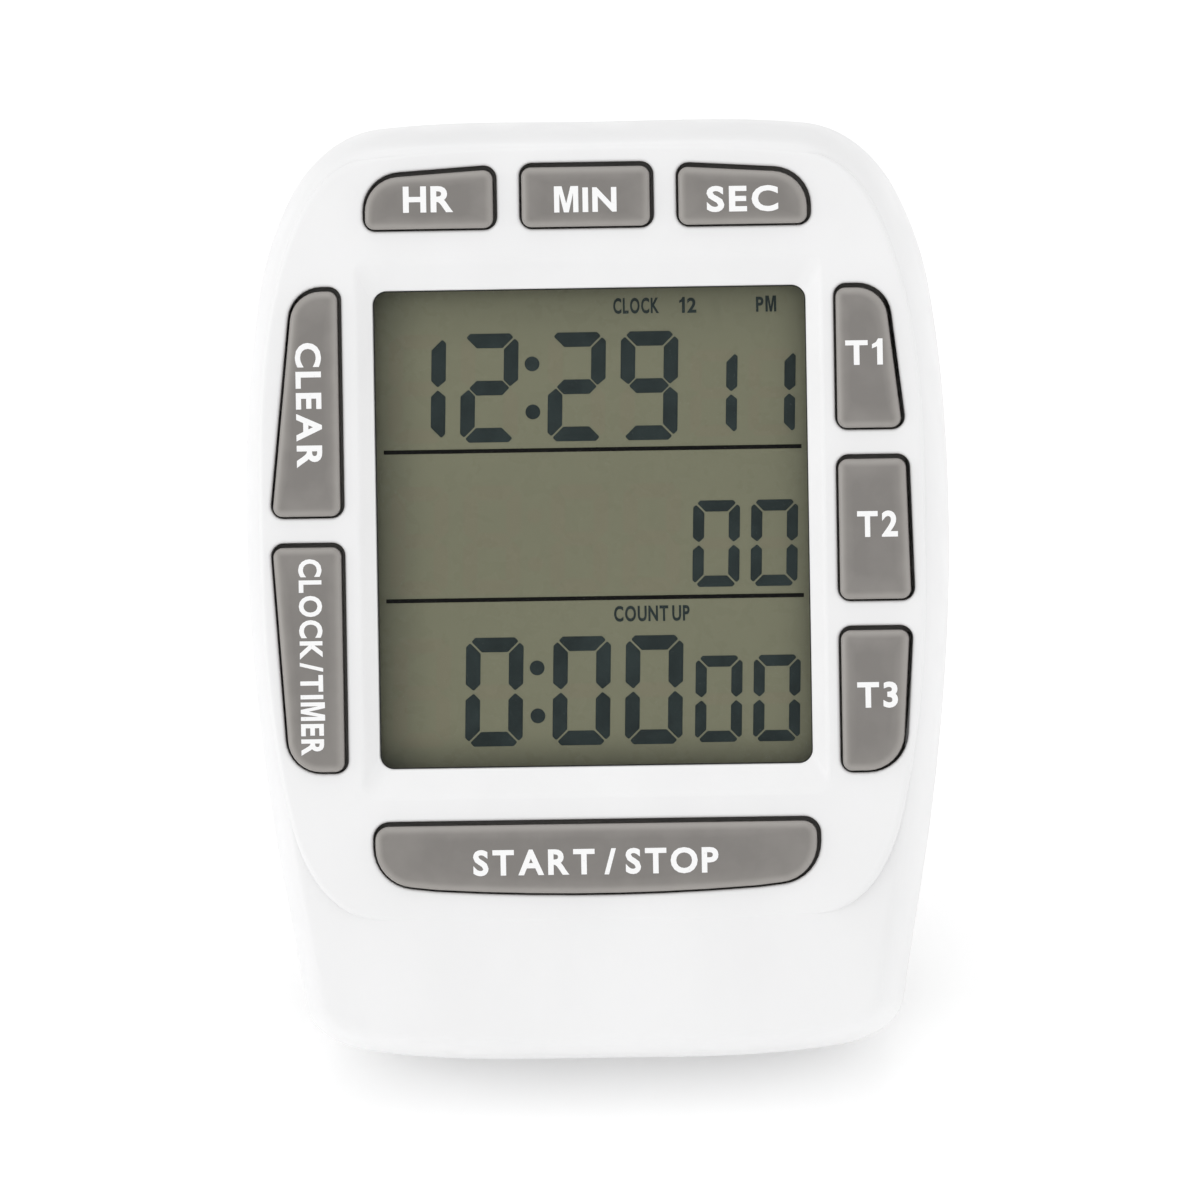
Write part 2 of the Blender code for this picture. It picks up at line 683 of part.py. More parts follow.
def build_front_case(keys, finish, lean):
    """The front shell: skirt, raised pad, sloped display recess, key holes and screw bosses."""
    outline = case_outline()
    shell = drop_chin(loft([ring(grown(outline, -inset), y) for y, inset in FRONT_RINGS]))
    case = part("front_case", shell, finish, lean)
    pad = pad_outline()
    pad_rings = [
        ring(pad, SKIRT_Y + EMBED),
        ring(pad, PAD_Y + PAD_EDGE),
        ring(grown(pad, -PAD_EDGE), PAD_Y),
    ]
    add(case, "pad", loft(pad_rings))

    hollow = [(PAST, WALL)]
    hollow += [(y, inset + WALL) for y, inset in FRONT_RINGS[1:3]]
    hollow += [(INNER_FACE_Y, FRONT_RINGS[3][1] + WALL)]
    cavity = drop_chin(loft([ring(grown(outline, -inset), y) for y, inset in hollow]))
    cut(case, "cavity", cavity)

    root = INNER_FACE_Y - EMBED
    bosses = [
        prism(disc(x, z, CASE_BOSS_ROUND), root + chin_fall(z), 0.0) for x, z in CASE_SCREWS
    ]
    bosses += [
        prism(disc(x, z, BOARD_BOSS_ROUND), root, BOARD_FRONT_Y - GAP)
        for x, z in board_screw_places()
    ]
    add(case, "bosses", gathered(bosses))

    pilots = [
        prism(disc(x, z, CASE_SCREW_ROUND + GAP), -SCREW_DEPTH - 2 * GAP, PAST)
        for x, z in CASE_SCREWS
    ]
    pilots += [
        prism(
            disc(x, z, BOARD_SCREW_ROUND + GAP), BOARD_FRONT_Y - SCREW_DEPTH - 2 * GAP, PAST
        )
        for x, z in board_screw_places()
    ]
    cut(case, "pilot_holes", gathered(pilots))

    ahead = 1 / 3               # the recess walls carried on past the pad
    front_side = RECESS_SIDE * (1 + ahead)
    front_top = RECESS_TOP * (1 + ahead)
    front_bottom = RECESS_BOTTOM * (1 + ahead)
    recess = loft(
        [
            ring(
                window_outline(front_side, front_top, front_bottom, WINDOW_ROUND),
                PAD_Y - RECESS_DEPTH * ahead,
            ),
            ring(window_outline(), WINDOW_Y),
            ring(window_outline(), INNER_FACE_Y + PAST),
        ]
    )
    cut(case, "recess", recess)

    holes = [
        prism(outline, PAD_Y - PAST, INNER_FACE_Y + EMBED) for outline, _, _ in keys.values()
    ]
    cut(case, "key_holes", gathered(holes))
    depth = INNER_FACE_Y + GAP + FLANGE_THICK + KEY_TRAVEL + GAP
    reliefs = [
        prism(grown(outline, KEY_FLANGE, side), INNER_FACE_Y - STEP, depth)
        for outline, side, _ in keys.values()
    ]
    cut(case, "flange_reliefs", gathered(reliefs))
    smooth(case)
    return case


def build_rear_cover(finish, lean):
    """The rear shell: battery bay, stand pocket, screw wells, magnet cups and sound holes."""
    outline = case_outline()
    rings = [ring(grown(outline, -inset), y) for y, inset in BACK_RINGS]
    cover = part("rear_cover", loft(rings), finish, lean)
    lip_outside = WALL + GAP
    lip_inside = lip_outside + LIP
    lip = prism(grown(outline, -lip_outside), -LIP_RISE, SEAM + EMBED)
    add(cover, "lip", lip)
    inner_y = BACK_Y - WALL
    hollow = [
        (-2 * LIP_RISE, lip_inside),
        (LIP_ROOT, lip_inside),
        (LIP_ROOT + LIP_SLOPE, WALL + 0.5 * BACK_RINGS[1][1]),
        (BACK_Y - BACK_ROUND, BACK_DRAFT + WALL),
        (inner_y, BACK_DRAFT + WALL + INNER_ROUND),
    ]
    cut(cover, "cavity", loft([ring(grown(outline, -inset), y) for y, inset in hollow]))

    bay_end = BAY_HALF_LENGTH + BAY_WALL
    bay = box(
        -bay_end,
        bay_end,
        BAY_FLOOR_Y,
        inner_y + EMBED,
        BAY_MID - BAY_OUTSIDE,
        BAY_MID + BAY_OUTSIDE,
    )
    pocket_side = POCKET_HALF + STAND_PIN_OUT + POCKET_WALL
    pocket = box(
        -pocket_side,
        pocket_side,
        POCKET_FLOOR_Y - POCKET_WALL,
        inner_y + EMBED,
        POCKET_BOTTOM - POCKET_WALL,
        POCKET_TOP + POCKET_WALL,
    )
    cups = [
        prism(
            disc(side * MAGNET_SPREAD, SOUNDER_Z, MAGNET_ROUND + GAP + WELL_WALL, 24),
            BACK_Y - MAGNET_THICK - GAP - BAY_WALL,
            inner_y + EMBED,
        )
        for side in (-1, 1)
    ]
    collar = [
        prism(
            disc(0.0, SOUNDER_Z, SOUNDER_ROUND + GAP + WELL_WALL, 24),
            SOUNDER_Y - GAP,
            inner_y + EMBED,
        )
    ]
    add(cover, "bay", bay)
    add(cover, "pocket_walls", pocket)
    add(cover, "cups", gathered(cups + collar))
    well_out = CASE_HEAD_ROUND + GAP + WELL_WALL
    tubes = [prism(disc(x, z, well_out), SEAM, inner_y + EMBED) for x, z in CASE_SCREWS]
    add(cover, "screw_tubes", gathered(tubes))

    beyond = BACK_Y + PAST
    wells = [
        prism(disc(x, z, CASE_HEAD_ROUND + GAP), SEAM + WELL_FLOOR, beyond) for x, z in CASE_SCREWS
    ]
    cut(cover, "screw_wells", gathered(wells))
    shanks = [
        prism(disc(x, z, CASE_SCREW_ROUND + GAP, 12), -PAST, SEAM + WELL_FLOOR + PAST)
        for x, z in CASE_SCREWS
    ]
    cut(cover, "shank_holes", gathered(shanks))

    bay_low = BAY_MID - BAY_HALF_HEIGHT
    bay_high = BAY_MID + BAY_HALF_HEIGHT
    bay_room = box(
        -BAY_HALF_LENGTH,
        BAY_HALF_LENGTH,
        BAY_FLOOR_Y + BAY_FLOOR,
        inner_y,
        bay_low,
        bay_high,
    )
    cut(cover, "bay_room", bay_room)
    mouth = DOOR_HALF_LENGTH + GAP
    cut(cover, "bay_mouth", box(-mouth, mouth, inner_y - PAST, beyond, bay_low, bay_high))
    door_low = BAY_MID - DOOR_HALF_HEIGHT - GAP
    door_high = BAY_MID + DOOR_HALF_HEIGHT + GAP
    cut(cover, "door_seat", box(-mouth, mouth, DOOR_INNER_Y - GAP, beyond, door_low, door_high))
    for label, reach, radius in (
        ("door_swing", mouth, DOOR_PIVOT_ROUND + GAP),
        ("door_sockets", mouth + DOOR_PIN_OUT, DOOR_PIN_ROUND + PIVOT_GAP),
    ):
        bore = turned([(-reach, radius), (reach, radius)], 16)
        bmesh.ops.translate(bore, verts=bore.verts, vec=(0.0, DOOR_PIVOT_Y, DOOR_PIVOT_Z))
        cut(cover, label, bore)
    slots = box(
        -bay_end - PAST,
        bay_end + PAST,
        TAB_Y - GAP,
        TAB_Y + CONTACT_THICK + GAP,
        BAY_MID - TAB_WIDE / 2 - GAP,
        BAY_MID + TAB_WIDE / 2 + GAP,
    )
    cut(cover, "tab_slots", slots)

    pocket_room = box(
        -POCKET_HALF, POCKET_HALF, POCKET_FLOOR_Y, beyond, POCKET_BOTTOM, POCKET_TOP
    )
    cut(cover, "pocket", pocket_room)
    pivot_reach = POCKET_HALF + STAND_PIN_OUT
    pivots = turned(
        [(-pivot_reach, STAND_PIN_ROUND + PIVOT_GAP), (pivot_reach, STAND_PIN_ROUND + PIVOT_GAP)],
        16,
    )
    bmesh.ops.translate(pivots, verts=pivots.verts, vec=(0.0, STAND_Y, STAND_Z))
    cut(cover, "stand_sockets", pivots)
    thumb = prism(
        disc(0.0, POCKET_BOTTOM + THUMB_RISE, THUMB_ROUND, 24), BACK_Y - THUMB_DEPTH, beyond
    )
    cut(cover, "thumb_notch", thumb)

    seats = [
        prism(
            disc(side * MAGNET_SPREAD, SOUNDER_Z, MAGNET_ROUND + GAP, 24),
            BACK_Y - MAGNET_THICK - GAP,
            beyond,
        )
        for side in (-1, 1)
    ]
    seats.append(
        prism(
            disc(0.0, SOUNDER_Z, SOUNDER_ROUND + GAP, 24), SOUNDER_Y - 2 * GAP, inner_y - STEP
        )
    )
    cut(cover, "seats", gathered(seats))
    sound = [(0.0, SOUNDER_Z)] + [
        (
            SOUND_HOLE_PITCH * math.sin(math.radians(turn)),
            SOUNDER_Z + SOUND_HOLE_PITCH * math.cos(math.radians(turn)),
        )
        for turn in range(0, 360, 60)
    ]
    holes = [prism(disc(x, z, SOUND_HOLE, 12), inner_y - PAST, beyond) for x, z in sound]
    cut(cover, "sound_holes", gathered(holes))
    smooth(cover)
    return cover


# ---------------------------------------------------------------- display


def build_display(finishes, lean):
    """Window pane, liquid-crystal cell, reflector, holder frame and the two contact strips."""
    pane = window_outline(PANE_MARGIN, PANE_MARGIN, PANE_MARGIN)
    part("display_lens", prism(pane, PANE_Y, PANE_Y + PANE_THICK), finishes["clear"], lean)

    cell_half = WINDOW_WIDTH / 2 + PANE_MARGIN
    low = WINDOW_BOTTOM - PANE_MARGIN
    high = WINDOW_TOP + PANE_MARGIN
    middle_y = CELL_Y + GLASS_THICK
    back_y = middle_y + GLASS_THICK
    front_glass = box(-cell_half, cell_half, CELL_Y, middle_y, low, high)
    cell = part("lcd_cell", front_glass, finishes["lcd"], lean)
    rear_glass = box(
        -cell_half + EMBED,
        cell_half - EMBED,
        middle_y - STEP,
        back_y,
        low + CELL_LEDGE,
        high - CELL_LEDGE,
    )
    add(cell, "rear_glass", rear_glass)

    sheet = box(
        -cell_half + 1.0 * MM,
        cell_half - 1.0 * MM,
        back_y + GAP,
        back_y + GAP + REFLECTOR_THICK,
        low + CELL_LEDGE + GAP,
        high - CELL_LEDGE - GAP,
    )
    part("lcd_reflector", sheet, finishes["reflector"], lean)

    room = cell_half + GAP
    edge = room + FRAME_WALL
    outer = slab(-edge, edge, low - GAP - FRAME_WALL, high + GAP + FRAME_WALL, 1.0 * MM)
    inner = slab(-room, room, low - GAP, high + GAP, 0.5 * MM)
    frame = part(
        "lcd_frame", prism(outer, CELL_Y, BOARD_FRONT_Y - GAP), finishes["inner_plastic"], lean
    )
    cut(frame, "room", prism(inner, CELL_Y - PAST, BOARD_FRONT_Y + PAST))

    for name, z in (
        ("contact_strip_upper", high - CELL_LEDGE / 2),
        ("contact_strip_lower", low + CELL_LEDGE / 2),
    ):
        strip = box(
            -cell_half + 1.5 * MM,
            cell_half - 1.5 * MM,
            middle_y + GAP,
            BOARD_FRONT_Y - GAP,
            z - STRIP_WIDE / 2,
            z + STRIP_WIDE / 2,
        )
        part(name, strip, finishes["dark_rubber"], lean)


# ---------------------------------------------------------------- board and keypad


def build_keypad(keys, finish, lean):
    """The silicone sheet with hollow domes under the keys."""
    edge = above(grown(case_outline(), -SHEET_INSET), PAD_BOTTOM - BOARD_BELOW_PAD)
    sheet = part("keypad_sheet", prism(edge, SHEET_Y, SHEET_Y + SHEET_THICK), finish, lean)
    tip_y = FLANGE_Y + FLANGE_THICK + GAP
    places = [centre for _, _, centres in keys.values() for centre in centres]
    domes = [
        loft(
            [
                ring(disc(x, z, DOME_TIP, 12), tip_y),
                ring(disc(x, z, 0.9 * DOME_ROUND, 12), tip_y + 2 * DOME_WALL),
                ring(disc(x, z, DOME_ROUND, 12), SHEET_Y + EMBED),
            ]
        )
        for x, z in places
    ]
    around = PANE_MARGIN + GAP + FRAME_WALL + GAP
    window = window_outline(around, around, around)
    holes = [prism(window, SHEET_Y - PAST, BOARD_FRONT_Y)]
    holes += [
        prism(disc(x, z, CASE_BOSS_ROUND + GAP), SHEET_Y - PAST, BOARD_FRONT_Y)
        for x, z in CASE_SCREWS[:2]
    ]
    holes += [
        prism(disc(x, z, BOARD_BOSS_ROUND + GAP), SHEET_Y - PAST, BOARD_FRONT_Y)
        for x, z in board_screw_places()
    ]
    cut(sheet, "openings", gathered(holes))
    add(sheet, "domes", gathered(domes))
    hollows = [
        loft(
            [
                ring(disc(x, z, DOME_TIP - DOME_WALL, 12), tip_y + 2 * DOME_WALL),
                ring(disc(x, z, DOME_ROUND - DOME_WALL, 12), BOARD_FRONT_Y),
            ]
        )
        for x, z in places
    ]
    cut(sheet, "dome_hollows", gathered(hollows))


def build_board(finishes, lean):
    """The circuit board with its controller and its crystal."""
    edge = above(grown(case_outline(), -BOARD_INSET), PAD_BOTTOM - BOARD_BELOW_PAD)
    board = part("main_board", prism(edge, BOARD_FRONT_Y, BOARD_BACK_Y), finishes["board"], lean)
    holes = [
        prism(disc(x, z, CASE_BOSS_ROUND + GAP), BOARD_FRONT_Y - PAST, PAST)
        for x, z in CASE_SCREWS[:2]
    ]
    holes += [
        prism(disc(x, z, BOARD_SCREW_ROUND + GAP, 12), BOARD_FRONT_Y - PAST, PAST)
        for x, z in board_screw_places()
    ]
    cut(board, "holes", gathered(holes))

    seat_y = BOARD_BACK_Y + GAP
    cap_z = BAY_MID - BAY_OUTSIDE - CAP_BELOW_BAY
    cap = loft(
        [
            ring(disc(0.0, cap_z, across * CAP_ROUND), seat_y + rise * CAP_THICK)
            for across, rise in ((1.0, 0.0), (0.97, 0.43), (0.77, 0.79), (0.4, 1.0))
        ]
    )
    smooth(part("controller_cap", cap, finishes["epoxy"], lean))
    can = turned(
        [
            (share * CRYSTAL_LENGTH, across * CRYSTAL_ROUND)
            for share, across in ((0.0, 0.9), (0.03, 1.0), (0.97, 1.0), (1.0, 0.8))
        ]
    )
    bmesh.ops.translate(
        can, verts=can.verts, vec=(CRYSTAL_ACROSS, seat_y + CRYSTAL_ROUND, cap_z)
    )
    smooth(part("clock_crystal", can, finishes["steel"], lean))


# ---------------------------------------------------------------- power and sound


def build_battery(finishes, lean):
    """The cell, its coiled spring and the two contact plates."""
    body_end = BATTERY_LENGTH / 2 - NUB_LENGTH
    cell = turned(
        [
            (-BATTERY_LENGTH / 2, BATTERY_ROUND - CELL_EDGE),
            (-BATTERY_LENGTH / 2 + CELL_EDGE, BATTERY_ROUND),
            (body_end - CELL_EDGE, BATTERY_ROUND),
            (body_end, BATTERY_ROUND - CELL_EDGE),
            (body_end + STEP, NUB_ROUND),
            (BATTERY_LENGTH / 2, NUB_ROUND - 2 * STEP),
        ],
        24,
    )
    battery = part("battery_cell", cell, finishes["battery"], lean)
    battery.location = (BATTERY_X, BATTERY_Y, BAY_MID)
    smooth(battery)

    half = CONTACT_SIDE / 2
    tab_end = BAY_HALF_LENGTH + BAY_WALL + TAB_OUT
    for name, side in (("battery_contact_negative", -1), ("battery_contact_positive", 1)):
        outer = side * (BAY_HALF_LENGTH - GAP)
        inner = outer - side * CONTACT_THICK
        plate = box(
            min(inner, outer),
            max(inner, outer),
            TAB_Y,
            TAB_Y + CONTACT_SIDE,
            BAY_MID - half,
            BAY_MID + half,
        )
        contact = part(name, plate, finishes["nickel"], lean)
        near = side * (BAY_HALF_LENGTH - GAP - 0.5 * CONTACT_THICK)
        far = side * tab_end
        tab = box(
            min(near, far),
            max(near, far),
            TAB_Y,
            TAB_Y + CONTACT_THICK,
            BAY_MID - TAB_WIDE / 2,
            BAY_MID + TAB_WIDE / 2,
        )
        add(contact, "tab", tab)
        if side > 0:
            bump = turned(
                [
                    (-BUMP_HIGH, 0.6 * NUB_ROUND),
                    (-0.3 * BUMP_HIGH, 0.95 * NUB_ROUND),
                    (0.3 * CONTACT_THICK, 1.05 * NUB_ROUND),
                ],
                16,
            )
            bmesh.ops.translate(bump, verts=bump.verts, vec=(inner, BATTERY_Y, BAY_MID))
            add(contact, "bump", bump)

    start = -(BAY_HALF_LENGTH - GAP - CONTACT_THICK) + GAP + SPRING_WIRE
    end = BATTERY_X - BATTERY_LENGTH / 2 - GAP - SPRING_WIRE
    steps = round(12 * SPRING_TURNS)
    points = []
    for step in range(steps + 1):
        along = step / steps
        angle = 2 * math.pi * SPRING_TURNS * along
        radius = SPRING_WIDE + (SPRING_NARROW - SPRING_WIDE) * along
        x = start + (end - start) * along
        points.append((x, radius * math.cos(angle), radius * math.sin(angle)))
    spring = tube("battery_spring", points, SPRING_WIRE, finishes["nickel"], lean)
    spring.location = (0.0, BATTERY_Y, BAY_MID)


def tube(name, points, radius, finish, lean):
    """A round wire along points, with closed ends."""
    curve = bpy.data.curves.new(name, "CURVE")
    curve.dimensions = "3D"
    curve.bevel_depth = radius
    curve.bevel_resolution = 1
    curve.use_fill_caps = True
    line = curve.splines.new("POLY")
    line.points.add(len(points) - 1)
    for place, point in zip(line.points, points):
        place.co = (*point, 1.0)
    curve.materials.append(finish)
    made = bpy.data.objects.new(name, curve)
    bpy.context.scene.collection.objects.link(made)
    made.parent = lean
    return made


def build_leads(finishes, lean):
    """Two battery leads and two sounder leads, each bowed between its ends."""
    board_y = BOARD_BACK_Y + GAP + STEP
    tab_y = TAB_Y + CONTACT_THICK / 2
    tab_x = BAY_HALF_LENGTH + BAY_WALL + TAB_OUT / 2
    start_z = BAY_MID + TAB_WIDE / 2 + GAP
    ceramic_y = SOUNDER_Y - GAP - SOUNDER_THICK - GAP
    plans = []
    for name, side, finish in (
        ("battery_lead_negative", -1, "black_wire"),
        ("battery_lead_positive", 1, "red_wire"),
    ):
        start = Vector((side * tab_x, tab_y, start_z))
        end = Vector((side * tab_x, board_y, start_z + 8.0 * MM))
        plans.append((name, start, Vector((0, 0, 1)), end, Vector((0, -1, 0)), finish))
    for name, x, finish in (
        ("sounder_lead_ground", -7.0 * MM, "black_wire"),
        ("sounder_lead_signal", 2.0 * MM, "red_wire"),
    ):
        over = SOUNDER_Y - GAP if x < 0 else ceramic_y
        start = Vector((x, over - STEP, SOUNDER_Z - 1.0 * MM))
        end = Vector((x * 0.6, board_y, SOUNDER_Z + 2.0 * MM))
        plans.append((name, start, Vector((0, -1, 0)), end, Vector((0, -1, 0)), finish))
    for name, start, leave, end, arrive, finish in plans:
        reach = (end - start).length * LEAD_BOW
        points = []
        for step in range(11):
            t = step / 10
            point = (
                start * (1 - t) ** 3
                + (start + leave * reach) * 3 * t * (1 - t) ** 2
                + (end - arrive * reach) * 3 * t * t * (1 - t)
                + end * t**3
            )
            points.append(point)
        tube(name, points, LEAD_ROUND, finishes[finish], lean)


def build_sounder(finishes, lean):
    """The brass disc behind the sound holes and the ceramic on it."""
    brass = prism(disc(0.0, SOUNDER_Z, SOUNDER_ROUND, 24), SOUNDER_Y, SOUNDER_Y + SOUNDER_THICK)
    part("sounder_disc", brass, finishes["brass"], lean)
    back = SOUNDER_Y - GAP
    ceramic = prism(disc(0.0, SOUNDER_Z, CERAMIC_ROUND, 20), back - SOUNDER_THICK, back)
    part("sounder_ceramic", ceramic, finishes["ceramic"], lean)


# ---------------------------------------------------------------- fasteners, door, stand, magnets


def build_screws(finishes, lean):
    """Four case screws from behind and two board screws."""
    plans = [
        (f"case_screw_{index}", place, SEAM + WELL_FLOOR + GAP, -SCREW_DEPTH, CASE_SCREW_ROUND,
         CASE_HEAD_ROUND, HEAD_THICK)
        for index, place in enumerate(CASE_SCREWS, 1)
    ]
    plans += [
        (f"board_screw_{index}", place, BOARD_BACK_Y + GAP, BOARD_FRONT_Y - SCREW_DEPTH,
         BOARD_SCREW_ROUND, BOARD_HEAD_ROUND, BOARD_HEAD_THICK)
        for index, place in enumerate(board_screw_places(), 1)
    ]
    for name, (x, z), seat, tip, shank, head, thick in plans:
        mesh = loft(
            [
                ring(disc(0.0, 0.0, radius), y - seat)
                for radius, y in (
                    (0.3 * shank, tip),
                    (shank, tip + shank),
                    (shank, seat),
                    (head, seat + STEP),
                    (head, seat + 0.5 * thick),
                    (0.7 * head, seat + thick),
                )
            ]
        )
        screw = part(name, mesh, finishes["steel"], lean)
        screw.location = (x, seat, z)
        slot = 0.16 * head
        depth = 0.5 * thick
        for label, across, down in (("slot", 0.6 * head, slot), ("cross", slot, 0.6 * head)):
            slot_box = box(-across, across, depth, thick + PAST, -down, down)
            bmesh.ops.translate(slot_box, verts=slot_box.verts, vec=screw.location)
            cut(screw, label, slot_box)
        smooth(screw)


def build_door(finish, lean):
    """The battery door, which tips out about two pins at its lower edge."""
    inner = DOOR_INNER_Y - DOOR_PIVOT_Y
    high = 2 * DOOR_HALF_HEIGHT - DOOR_PIVOT_ROUND
    outer = DOOR_PIVOT_ROUND
    last = math.degrees(math.acos(inner / DOOR_PIVOT_ROUND))
    profile = [
        (
            DOOR_PIVOT_ROUND * math.cos(math.radians(-last * step / 8)),
            DOOR_PIVOT_ROUND * math.sin(math.radians(-last * step / 8)),
        )
        for step in range(9)
    ]
    profile += [(inner, high), (outer - DOOR_EDGE, high), (outer, high - DOOR_EDGE)]
    length = DOOR_HALF_LENGTH
    mesh = loft([[(x, y, z) for y, z in profile] for x in (-length, length)])
    door = part("battery_door", mesh, finish, lean)
    door.location = (0.0, DOOR_PIVOT_Y, DOOR_PIVOT_Z)
    end = length + DOOR_PIN_OUT
    pins = turned([(-end, DOOR_PIN_ROUND), (end, DOOR_PIN_ROUND)], 12)
    bmesh.ops.translate(pins, verts=pins.verts, vec=door.location)
    add(door, "pins", pins)
    smooth(door)


def lean_angle():
    """How far the case leans back when its lower edge and the stand's sole are on one plane."""
    foot_y = STAND_Y + STAND_LENGTH * math.sin(STAND_OPEN)
    foot_z = STAND_Z - STAND_LENGTH * math.cos(STAND_OPEN)
    low, high = math.radians(2.0), math.radians(60.0)
    for _ in range(60):
        lean = (low + high) / 2
        case = min(
            (BOTTOM_Z + inset) * math.cos(lean) - y * math.sin(lean) for y, inset in BACK_RINGS
        )
        foot = foot_z * math.cos(lean) - foot_y * math.sin(lean) - STAND_SOLE
        if foot > case:
            low = lean
        else:
            high = lean
    return (low + high) / 2


def build_stand(lean_back, finish, lean):
    """The stand: a tapered leg with a heel that stops it, a flat sole and two pivot pins."""
    sole_turn = STAND_OPEN - lean_back
    down = Vector((math.sin(-sole_turn), -math.cos(sole_turn)))
    foot = Vector((0.0, -STAND_LENGTH))
    profile = [(-STAND_HALF, STAND_HEEL), (STAND_HALF, STAND_HEEL)]
    for step in range(13):
        turn = math.pi * step / 12
        point = foot + Vector((math.cos(turn), -math.sin(turn))) * STAND_HALF
        below = (point - foot).dot(down) - STAND_SOLE
        if below > 0:
            point -= down * below
        profile.append(tuple(point))
    mesh = loft([[(x, y, z) for y, z in profile] for x in (-STAND_WIDTH / 2, STAND_WIDTH / 2)])
    for vert in mesh.verts:
        vert.co.x *= 1 + STAND_TAPER * min(0.0, vert.co.z) / STAND_LENGTH
    stand = part("tilt_stand", mesh, finish, lean)
    stand.location = (0.0, STAND_Y, STAND_Z)
    end = STAND_WIDTH / 2 + STAND_PIN_OUT
    pins = turned([(-end, STAND_PIN_ROUND), (end, STAND_PIN_ROUND)], 16)
    bmesh.ops.translate(pins, verts=pins.verts, vec=stand.location)
    add(stand, "pins", pins)
    stand.rotation_euler.x = STAND_OPEN
    smooth(stand)


def build_magnets(finish, lean):
    """Two round magnets that stand a little proud of the back."""
    for name, side in (("magnet_left", -1), ("magnet_right", 1)):
        outline = disc(0.0, 0.0, MAGNET_ROUND, 24)
        mesh = loft(
            [
                ring(outline, -MAGNET_THICK),
                ring(outline, -MAGNET_EDGE),
                ring(disc(0.0, 0.0, MAGNET_ROUND - MAGNET_EDGE, 24), 0.0),
            ]
        )
        magnet = part(name, mesh, finish, lean)
        magnet.location = (side * MAGNET_SPREAD, BACK_Y + MAGNET_PROUD, SOUNDER_Z)
        smooth(magnet)


# ---------------------------------------------------------------- assembly


def stand_on_table(lean):
    """Moves the lean empty so that the object stands on z = 0, centred on the origin."""
    bpy.context.view_layer.update()
    depsgraph = bpy.context.evaluated_depsgraph_get()
    points = []
    for made in bpy.context.scene.objects:
        if made.type in ("MESH", "CURVE") and not made.hide_render:
            shown = made.evaluated_get(depsgraph)
            points += [shown.matrix_world @ vert.co for vert in shown.to_mesh().vertices]
            shown.to_mesh_clear()
    depths = [point.y for point in points]
    lowest = min(point.z for point in points)
    lean.location = (0.0, -(min(depths) + max(depths)) / 2, -lowest)


def main():
    """Builds the timer."""
    for made in list(bpy.data.objects):
        bpy.data.objects.remove(made)
    lean = bpy.data.objects.new("lean", None)
    bpy.context.scene.collection.objects.link(lean)
    lean_back = lean_angle()
    lean.rotation_euler.x = -lean_back

    finishes = {
        "white": material("white_plastic", (0.86, 0.86, 0.86), 0.35),
        "key": material("key_grey", (0.25, 0.235, 0.22), 0.45),
        "clear": material("clear_pane", (0.9, 0.92, 0.9), 0.05, alpha=0.35),
        "lcd": material("lcd_glass", (0.16, 0.165, 0.11), 0.2),
        "reflector": material("reflector_foil", (0.6, 0.6, 0.55), 0.3, 0.8),
        "inner_plastic": material("holder_plastic", (0.8, 0.8, 0.78), 0.5),
        "dark_rubber": material("strip_rubber", (0.03, 0.03, 0.03), 0.7),
        "silicone": material("keypad_silicone", (0.55, 0.55, 0.53), 0.6),
        "board": material("board_laminate", (0.02, 0.16, 0.06), 0.4),
        "epoxy": material("epoxy_black", (0.01, 0.01, 0.01), 0.25),
        "steel": material("zinc_steel", (0.6, 0.6, 0.6), 0.3, 1.0),
        "nickel": material("nickel_plate", (0.65, 0.63, 0.58), 0.25, 1.0),
        "battery": material("battery_sleeve", (0.08, 0.09, 0.1), 0.35),
        "brass": material("sounder_brass", (0.7, 0.5, 0.2), 0.3, 1.0),
        "ceramic": material("sounder_ceramic", (0.8, 0.78, 0.72), 0.5),
        "black_wire": material("black_wire", (0.02, 0.02, 0.02), 0.5),
        "red_wire": material("red_wire", (0.5, 0.02, 0.02), 0.5),
        "magnet": material("ferrite", (0.04, 0.04, 0.045), 0.5),
    }
    keys = key_plan()
    build_front_case(keys, finishes["white"], lean)
    build_rear_cover(finishes["white"], lean)
    build_display(finishes, lean)
    for name, (outline, closed_side, _) in keys.items():
        build_key(name, outline, closed_side, finishes["key"], lean)
    build_keypad(keys, finishes["silicone"], lean)
    build_board(finishes, lean)
    build_battery(finishes, lean)
    build_sounder(finishes, lean)
    build_leads(finishes, lean)
    build_screws(finishes, lean)
    build_door(finishes["white"], lean)
    build_stand(lean_back, finishes["white"], lean)
    build_magnets(finishes["magnet"], lean)
    stand_on_table(lean)


main()
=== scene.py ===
"""Three-channel lab timer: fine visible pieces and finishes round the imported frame.

Every piece is shaped in the case's own axes, in millimetres: X runs right across the face, Z runs
up the face, and Y runs from the face to the back, with Y = 0 on the parting plane. CaseAxes then
leans each finished mesh onto the table, in the frame's metres.
"""

import json
import logging
import math
from dataclasses import dataclass
from enum import Enum
from typing import Iterable, Sequence

import bmesh
import bpy
from mathutils import Matrix, Vector


